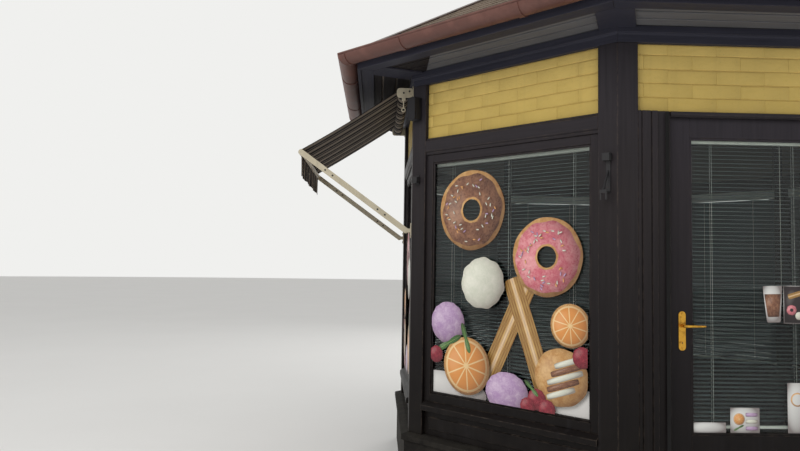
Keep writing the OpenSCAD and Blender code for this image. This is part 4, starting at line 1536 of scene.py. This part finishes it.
@dataclass
class SweetFilms:
    """Printed films of sweets and fruit on the two windows beside the awning."""

    half: float = 0.545
    low: float = 0.682
    high: float = 2.145
    out: float = -0.0393

    def build(self) -> None:
        """Makes the films of both windows."""
        form = Form("window_films")
        window = (-self.half, self.half, self.low, self.high)
        for bay, flip in ((1, 1), (2, -1)):
            self.lay_out(Film(form, window, self.out, PLAN.turn(bay), flip), random.Random(500 + bay))
        form.finish("kiosk", INKS)

    def lay_out(self, film: Film, rng: random.Random) -> None:
        """Sticks one window's set of shapes.

        Args:
            film: Film of the window.
            rng: Seeded chance for the sprinkles.
        """
        cut = film.cut
        cut(CHINA, -0.47, 0.70, 0.34, 0.12)
        cut(CHINA, 0.50, 0.71, 0.30, 0.12)
        for x, z, roll in ((0.03, 1.13, 1.12), (0.17, 1.07, 1.92)):
            cut(WAFER, x, z, 0.37, 0.062, roll, bar_edge)
        self.ring(film, -0.255, 1.835, 0.252, COCOA, rng)
        self.ring(film, 0.285, 1.545, 0.228, ROSE, rng)
        cut(CREAM, -0.15, 1.385, 0.165, 0.160, 0.3, frill(9, 0.035))
        for x, z, wide, high in ((-0.415, 1.13, 0.135, 0.132), (0.03, 0.755, 0.150, 0.12)):
            cut(LILAC, x, z, wide, high, 0.0, frill(14, 0.02))
        for x, z, r in ((-0.265, 0.875, 0.172), (0.44, 1.17, 0.118)):
            cut(PEACH, x, z, r, r, 0.4)
            cut(DOUGH, x, z, r * 1.02, r * 1.02, 0.0, None, 0.92)
        cut(GREEN, -0.40, 1.005, 0.105, 0.05, 0.5, leaf_edge)
        cut(GREEN, -0.27, 1.045, 0.095, 0.045, 1.9, leaf_edge)
        cut(DOUGH, 0.385, 0.885, 0.168, 0.162, 0.2, frill(7, 0.02))
        for k in range(5):
            cut(COCOA if k % 2 else CREAM, 0.385 + 0.012 * k, 0.80 + 0.043 * k, 0.115 - 0.012 * abs(k - 2),
                0.016, 0.35, bar_edge)
        for x, z, r in ((0.235, 0.745, 0.062), (0.30, 0.70, 0.055), (0.175, 0.70, 0.05),
                        (0.515, 1.005, 0.06), (-0.50, 0.925, 0.055)):
            cut(CRIMSON, x, z, r, r, 0.0, frill(11, 0.03))
        cut(GREEN, 0.20, 0.805, 0.06, 0.03, 2.4, leaf_edge)

    def ring(self, film: Film, x: float, z: float, r: float, icing: Finish, rng: random.Random) -> None:
        """Sticks a ring cake with icing and sugar strands.

        Args:
            film: Film of the window.
            x: Its middle along the side.
            z: Its middle above the ground.
            r: Its radius.
            icing: Ink of the icing.
            rng: Seeded chance for the strands.
        """
        film.cut(DOUGH, x, z, r, r, 0.0, frill(5, 0.012), 0.27)
        film.cut(icing, x, z, r * 0.93, r * 0.93, 0.7, frill(8, 0.035), 0.36)
        for _ in range(44):
            angle, reach = rng.uniform(0, math.tau), r * rng.uniform(0.47, 0.8)
            ink = rng.choice((CREAM, PEACH, LILAC, CREAM))
            film.cut(ink, x + reach * math.cos(angle), z + reach * math.sin(angle), 0.0115, 0.0038,
                     rng.uniform(0, math.pi), bar_edge, 0.0, 10)


@dataclass
class DoorDetails:
    """What is fixed to the door leaf: its blind, cards, screws and beads."""

    glass_half: float = 0.317
    glass_low: float = 0.63
    glass_high: float = 2.185
    lever_x: float = -0.365
    lever_z: float = 1.194
    leaf_front: float = 0.048
    leaf_back: float = 0.092
    hinge_feet: Tuple[float, ...] = (0.336, 1.2285, 2.021)
    # Place of the strips of painted shadow on the jambs.
    shadow_x: Pair = (0.4462, 0.4665)
    shadow_out: Pair = (-0.0002, 0.0018)
    shadow_z: Pair = (0.152, 2.31)
    pull_cord: Tuple[float, float, float] = (0.18, -0.067, 1.31)
    rail_high: float = 0.026
    rail_deep: float = 0.024
    pane_out: float = -0.0598
    bead: float = 0.012
    bead_out: float = -0.0485
    plate: float = 0.00505
    plate_screws: Pair = (0.061, -0.114)
    key_drop: float = 0.088
    key_out: float = 0.003
    hinge: float = 0.0025

    def build(self) -> None:
        """Makes the details of the door."""
        slats = Form("door_slats")
        blind = Blind(half=self.glass_half - 0.006, foot=self.glass_low + 0.03, head=self.glass_high,
                      head_high=self.rail_high, front=self.leaf_back - self.rail_deep, deep=self.rail_deep,
                      slat=0.021, tapes=(-0.19, 0.256), tilt=math.radians(13))
        blind.hang(slats, FLAT, random.Random(77))
        slats.block((-self.glass_half, self.glass_half),
                    (-self.leaf_back, -self.leaf_back + self.rail_deep),
                    (self.glass_high - self.rail_high, self.glass_high), ease=0.002, slot=1)
        x, out, foot = self.pull_cord
        slats.rod(PLAN.at(x, out, foot), PLAN.at(x, out, self.glass_high - 0.02), 0.0008, slot=1)
        slats.finish("door", [SLAT, RAIL], ["door_blind"])
        dress("door_glass", WINDOW_PANE)
        for node in ("door_lock_plates", "door_hinges", "frame_hinges", "door_handle"):
            dress(node, BRASS)
        beads = Form("door_beads")
        bead_round(beads, self.glass_half, (self.glass_low, self.glass_high), self.bead,
                   (self.pane_out, self.bead_out))
        beads.finish("door", [DOOR_TIMBER])
        self.cards()
        self.screws()
        self.shadow_strips()

    def shadow_strips(self) -> None:
        """Makes the black strips on the jambs beside the leaf, which paint the shadow of the rebate."""
        form = Form("rebate_shadow_strips")
        inner, outer = self.shadow_x
        for x in ((-outer, -inner), (inner, outer)):
            form.block(x, self.shadow_out, self.shadow_z, ease=0.0006)
        form.finish("kiosk", [REBATE_SHADOW])

    def cards(self) -> None:
        """Makes the plain cards and cut-outs stuck on the door pane."""
        form = Form("door_cards")
        film = Film(form, (-0.304, 0.304, self.glass_low + 0.002, self.glass_high - 0.013), self.pane_out)
        for shape in ((CARD, -0.222, 0.664, 0.092, 0.030, 0.0, card_edge),
                      (CARD, -0.029, 0.702, 0.078, 0.069, 0.0, card_edge),
                      (PEACH, -0.060, 0.712, 0.030, 0.030),
                      (GREEN, -0.062, 0.668, 0.030, 0.014, 0.5, leaf_edge),
                      (LILAC, 0.006, 0.735, 0.032, 0.010, 0.0, bar_edge),
                      (CREAM, 0.006, 0.700, 0.032, 0.010, 0.0, bar_edge),
                      (LILAC, 0.006, 0.665, 0.032, 0.010, 0.0, bar_edge),
                      (CARD, 0.255, 0.768, 0.057, 0.134, 0.0, card_edge),
                      (PEACH, 0.252, 0.815, 0.036, 0.036, 0.0, None, 0.8),
                      (CARD, 0.245, 1.311, 0.060, 0.099, 0.0, card_edge),
                      (CARD_DARK, 0.245, 1.311, 0.057, 0.096, 0.0, card_edge),
                      (WAFER, 0.247, 1.362, 0.038, 0.014, 0.3, bar_edge),
                      (ROSE, 0.228, 1.282, 0.028, 0.028, 0.0, frill(6, 0.05), 0.35),
                      (CREAM, 0.268, 1.252, 0.022, 0.022, 0.0, frill(9, 0.04)),
                      (CARD, 0.128, 1.312, 0.052, 0.096, 0.03, cup_edge),
                      (COCOA, 0.128, 1.305, 0.044, 0.060, 0.03, cup_edge)):
            film.cut(*shape)
        form.finish("door", INKS)

    def screws(self) -> None:
        """Makes the screws of the lock plates and hinges, and the keyholes."""
        leaf, jamb, holes = Form("leaf_screws"), Form("jamb_screws"), Form("keyholes")
        for side, face in ((-1, -self.leaf_front + self.plate), (1, -self.leaf_back - self.plate)):
            for dz in self.plate_screws:
                leaf.screw(PLAN.at(self.lever_x, face, self.lever_z + dz), Vector((0, side, 0)), 0.0045)
            out = face - side * self.key_out
            z = self.lever_z - self.key_drop
            back, front = sorted((out - side * 0.0001, out - side * 0.0005))
            holes.block((self.lever_x - 0.0016, self.lever_x + 0.0016), (back, front + 0.0002),
                        (z - 0.006, z + 0.004))
        for foot in self.hinge_feet:
            for form, x, z in ((leaf, 0.427, 0.05), (jamb, 0.462, 0.018), (jamb, 0.462, 0.082)):
                form.screw(PLAN.at(x, -self.leaf_back - self.hinge, foot + z), Vector((0, 1, 0)), 0.004)
        leaf.finish("door", [BRASS])
        jamb.finish("kiosk", [BRASS])
        holes.finish("door", [IRON])


@dataclass
class DropArmAwning:
    """Striped cloth on a roller, with its drop arms, front bar and valance."""

    roller: Pair = (0.065, 2.65)
    roll_r: float = 0.04
    bar: Pair = (0.75046, 2.23518)
    bar_r: float = 0.018
    half: float = 0.632
    slope: float = math.radians(-32.753)
    run: float = 0.80091
    lift: float = 0.0003
    thick: float = 0.0012
    sag: float = 0.008
    valance: float = 0.14
    pivot: Pair = (0.036, 1.718)
    arm_x: float = 0.655
    arm_half: float = 0.005
    lead: float = 0.03
    tail: float = 0.055
    angle: float = math.radians(35.9)
    arm: float = 0.882
    wound: float = 0.0024
    spindle: float = 0.6795
    spindle_r: float = 0.014
    socket: Pair = (0.0004, 0.004)
    socket_r: float = 0.0075
    bracket_x: float = 0.6765
    plate: float = 0.00605
    clear: float = 0.0015
    bay: int = 2

    @property
    def turn(self) -> Matrix:
        """Turn from the door side to the side of the awning."""
        return PLAN.turn(self.bay)

    def build(self) -> None:
        """Makes the cloth, its roll, the valance and the bolts."""
        self.cloth()
        self.hang_valance()
        self.roll()
        self.bolts()
        for node in ("awning_brackets", "awning_pivots", "awning_arms", "awning_front_bar"):
            dress(node, ARM_METAL)

    def sheet(self, name: str, across: int, down: int, place: Callable[[float, float], Vector],
              long: float) -> Form:
        """Makes a woven sheet from a grid whose points are put in place one by one.

        Args:
            name: Name of the piece.
            across: Squares across its width.
            down: Squares down its length.
            place: Puts a point, given across and down, on the door side.
            long: Its length.

        Returns:
            The sheet.
        """
        part = bmesh.new()
        bmesh.ops.create_grid(part, x_segments=across, y_segments=down, size=0.5)
        bmesh.ops.scale(part, vec=Vector((2 * self.half, long, 1)), verts=part.verts)
        bmesh.ops.solidify(part, geom=part.faces, thickness=self.thick)
        uv = part.loops.layers.uv.new("lay")
        for f in part.faces:
            f.smooth = abs(f.normal.z) > 0.5
            for loop in f.loops:
                loop[uv].uv = (loop.vert.co.x, long / 2 - loop.vert.co.y)
        step = 0.002
        for v in part.verts:
            x, s, h = v.co.x, long / 2 - v.co.y, v.co.z
            side = place(x + step, s) - place(x - step, s)
            fall = place(x, s + step) - place(x, s - step)
            v.co = place(x, s) + fall.cross(side).normalized() * h
        bmesh.ops.recalc_face_normals(part, faces=part.faces)
        form = Form(name)
        form.keep(part, self.turn)
        return form

    def cloth(self) -> None:
        """Makes the taut cloth from the roller to the front bar."""
        along = Vector((0, -math.cos(self.slope), math.sin(self.slope)))
        up = Vector((0, math.sin(self.slope), math.cos(self.slope)))
        start = PLAN.at(0, *self.roller) + up * (self.roll_r + self.lift + self.clear)

        def place(x: float, s: float) -> Vector:
            """Puts a point of the cloth in place, with its sag.

            Args:
                x: Distance across from its middle.
                s: Distance down from the roller.

            Returns:
                The point on the door side.
            """
            t = s / self.run
            dip = self.sag * 4 * t * (1 - t) * (0.75 + 0.25 * math.cos(x / self.half * math.pi / 2))
            pull = 0.004 * math.sin(t * math.pi) * (x / self.half) ** 3
            ripple = 0.0012 * math.sin(x * 21 + 1.0) * math.sin(t * math.pi)
            return start + along * s - up * (dip + ripple) + Vector((x - pull, 0, 0))

        form = self.sheet("awning_sheet", 64, 30, place, self.run)
        piece = form.finish(None, [CLOTH], ["awning_fabric"])
        roll, bar, turn = PLAN.at(0, *self.roller), PLAN.at(0, *self.bar), self.turn
        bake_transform(piece)

    def hang_valance(self) -> None:
        """Makes the strip of cloth that hangs from the front bar."""
        top = self.bar[1] - self.bar_r - self.lift

        def place(x: float, s: float) -> Vector:
            """Puts a point of the valance in place, with its waves.

            Args:
                x: Distance across from its middle.
                s: Distance down from the front bar.

            Returns:
                The point on the door side.
            """
            t = s / self.valance
            wave = 0.0045 * t * math.sin(x * 17.0 + 0.6) + 0.002 * t * t * math.sin(x * 41.0)
            return PLAN.at(x, self.bar[0] + wave, top - s)

        form = self.sheet("awning_skirt", 96, 10, place, self.valance)
        piece = form.finish("awning_front", [CLOTH], ["awning_valance"])

    def roll(self) -> None:
        """Makes the roller with the cloth that is still wound on it."""
        form, turn = Form("wound_roller"), self.turn
        r = self.roll_r - self.wound
        part = cone(r, r, 2 * (self.half + 0.004), 48)
        uv = part.loops.layers.uv.new("lay")
        caps = [f for f in part.faces if len(f.verts) > 4]
        for k in range(7):
            bmesh.ops.inset_region(part, faces=caps, thickness=0.0018, depth=0.0012 if k % 2 else -0.0012)
        for f in part.faces:
            f.smooth = len(f.verts) == 4 and abs(f.normal.z) < 0.3
            for loop in f.loops:
                co = loop.vert.co
                loop[uv].uv = (co.z, self.roll_r * math.atan2(co.y, co.x))
        lie = Matrix.Translation(PLAN.at(0, *self.roller)) @ Matrix.Rotation(math.radians(90), 4, "Y")
        form.keep(part, turn @ lie)
        end = self.spindle
        form.rod(PLAN.at(-end, *self.roller), PLAN.at(end, *self.roller), self.spindle_r, sides=24,
                 turn=turn, ease=0.001, slot=1)
        out, deep = self.socket
        for x in (-end, end - deep):
            form.rod(PLAN.at(x - out, *self.roller), PLAN.at(x + deep + out, *self.roller), self.socket_r,
                     turn=turn, slot=2)
        form.finish("roller", [CLOTH, ARM_METAL, IRON], ["awning_roller"])

    def bolts(self) -> None:
        """Makes the bolts of the brackets, the pivots and the arms."""
        fixed, moving, turn = Form("awning_fixings"), Form("arm_fixings"), self.turn
        facing = turn.to_3x3() @ Vector((0, -1, 0))
        for way in (-1, 1):
            for z in (self.pivot[1] - 0.036, self.pivot[1] + 0.036):
                fixed.screw(turn @ PLAN.at(way * self.arm_x, self.plate, z), facing, 0.0075)
            for z in (self.roller[1] - 0.026, self.roller[1] + 0.026):
                for dx in (-0.018, 0.018):
                    fixed.screw(turn @ PLAN.at(way * self.bracket_x + dx, self.plate, z), facing, 0.0055)
            side = turn.to_3x3() @ Vector((way, 0, 0))
            fixed.screw(turn @ PLAN.at(way * self.spindle, 0.026, self.roller[1] + 0.012), side, 0.007)
            for share in (0.2, 0.27, 0.7, 0.77):
                reach = self.arm * share
                out = self.pivot[0] + reach * math.cos(self.angle)
                z = self.pivot[1] + reach * math.sin(self.angle)
                base = PLAN.at(way * self.arm_x, out, z)
                for face in (-1, 1):
                    aim = Vector((face, 0, 0))
                    moving.screw(base + aim * self.arm_half, aim, 0.006, turn)
        fixed.finish("kiosk", [IRON])
        moving.finish("awning", [IRON])


@dataclass
class Fittings:
    """Gutter, roof cap, box and the other ready-made pieces."""

    works: Tuple[Tuple[str, Finish], ...] = (
        ("gutter", GUTTER), ("gutter_straps", GUTTER), ("downpipe", GUTTER), ("roof_cap", HIP),
        ("ceiling", INNER_BOARD), ("floor", CONCRETE), ("post_hooks", IRON),
    )
    box_x: float = -0.68
    box_half: float = 0.035
    box_z: Pair = (2.444, 2.594)

    def build(self) -> None:
        """Dresses the ready-made pieces and makes the wall box."""
        for node, finish in self.works:
            dress(node, finish)
        self.box()

    def box(self) -> None:
        """Makes the small wall box with its lid and screws."""
        form = Form("wall_box_case")
        turn = PLAN.turn(1)
        low, high = self.box_z
        for inset, out, ease in ((0.0, (0.00005, 0.05), 0.005), (0.0005, (0.0515, 0.07), 0.006),
                                 (0.0025, (0.049, 0.053), 0.0)):
            half = self.box_half - inset
            form.block((self.box_x - half, self.box_x + half), out, (low + inset, high - inset),
                       turn, ease, 3)
        facing = turn.to_3x3() @ Vector((0, -1, 0))
        for z in (low + 0.014, high - 0.014):
            form.screw(turn @ PLAN.at(self.box_x, 0.0688, z), facing, 0.004)
        form.finish("kiosk", [BOX], ["wall_box"])


@dataclass
class Studio:
    """Pale floor, soft light and the camera where the photograph was taken."""

    place: Triple = (-1.9622, -5.1910, 1.49)
    yaw: float = math.radians(1.878)
    rise: float = math.radians(3.290)
    roll: float = math.radians(0.937)
    lens: float = 30.369
    aim: Triple = (0, 0, 1.6)
    lamps: Tuple[Tuple[str, Triple, float, float], ...] = (
        ("key", (-6.5, -7.5, 7.0), 420.0, 5.0),
        ("fill", (7.0, -3.0, 5.0), 160.0, 6.0),
        ("back", (2.0, 8.0, 6.0), 180.0, 6.0),
    )

    def build(self) -> None:
        """Makes the floor, the light and the camera."""
        self.floor()
        self.light()
        self.camera()
        bpy.context.scene.view_settings.view_transform = "Standard"

    def floor(self) -> None:
        """Makes the plain pale floor."""
        part = bmesh.new()
        bmesh.ops.create_circle(part, cap_ends=True, segments=64, radius=60.0)
        mesh = bpy.data.meshes.new("studio_floor")
        part.to_mesh(mesh)
        part.free()
        mat = bpy.data.materials.new("studio_floor")
        g = Graph.of(mat)
        cloud = g.noise(g.add("TexCoord").outputs["Object"], 0.6, 3.0)
        shade = g.mix(cloud, linear((230, 229, 226)), linear((236, 235, 232)))
        shader = g.add("BsdfPrincipled", {"Base Color": shade, "Roughness": 0.9})
        g.add("OutputMaterial", {"Surface": shader.outputs[0]})
        mesh.materials.append(mat)
        piece = show("studio_floor", mesh)

    def light(self) -> None:
        """Makes the soft world light, the pale backdrop and the large lamps."""
        world = bpy.data.worlds.new("studio")
        bpy.context.scene.world = world
        g = Graph.of(world)
        rays = g.add("LightPath").outputs
        bent = g.math("MAXIMUM", rays["Is Glossy Ray"], rays["Is Transmission Ray"])
        seen = g.math("MAXIMUM", rays["Is Camera Ray"], bent)
        soft = g.add("Background", {"Color": (1.0, 1.0, 1.0, 1.0), "Strength": 0.62})
        shown = g.add("Background", {"Color": linear((240, 240, 238)), "Strength": 1.0})
        mixed = g.add("MixShader", {0: seen, 1: soft.outputs[0], 2: shown.outputs[0]})
        g.add("OutputWorld", {"Surface": mixed.outputs[0]})
        for name, spot, power, wide in self.lamps:
            lamp = bpy.data.lights.new(name, "AREA")
            lamp.energy = power
            lamp.size = wide
            thing = show(name, lamp)
            thing.location = spot
            thing.visible_glossy = False
            thing.rotation_mode = "QUATERNION"
            thing.rotation_quaternion = (Vector(self.aim) - Vector(spot)).to_track_quat("-Z", "Y")

    def camera(self) -> None:
        """Makes the camera."""
        lens = bpy.data.cameras.new("camera")
        lens.sensor_fit = "HORIZONTAL"
        lens.sensor_width = 36.0
        lens.lens = self.lens
        ahead = Vector((math.sin(self.yaw) * math.cos(self.rise), math.cos(self.yaw) * math.cos(self.rise),
                        math.sin(self.rise)))
        level = Vector((math.cos(self.yaw), -math.sin(self.yaw), 0))
        above = level.cross(ahead)
        x = level * math.cos(self.roll) + above * math.sin(self.roll)
        y = -level * math.sin(self.roll) + above * math.cos(self.roll)
        thing = show("camera", lens)
        thing.rotation_mode = "QUATERNION"
        thing.rotation_quaternion = Matrix((x, y, -ahead)).transposed().to_quaternion()
        thing.location = Vector(self.place)
        bpy.context.scene.camera = thing


def main() -> None:
    """Builds the looks of the kiosk, piece by piece."""
    for piece in (Studio(), Joinery(), BrickFrieze(), Roof(), Eaves(), Windows(), SweetFilms(),
                  DoorDetails(), DropArmAwning(), Fittings()):
        piece.build()


if __name__ == "__main__":
    main()
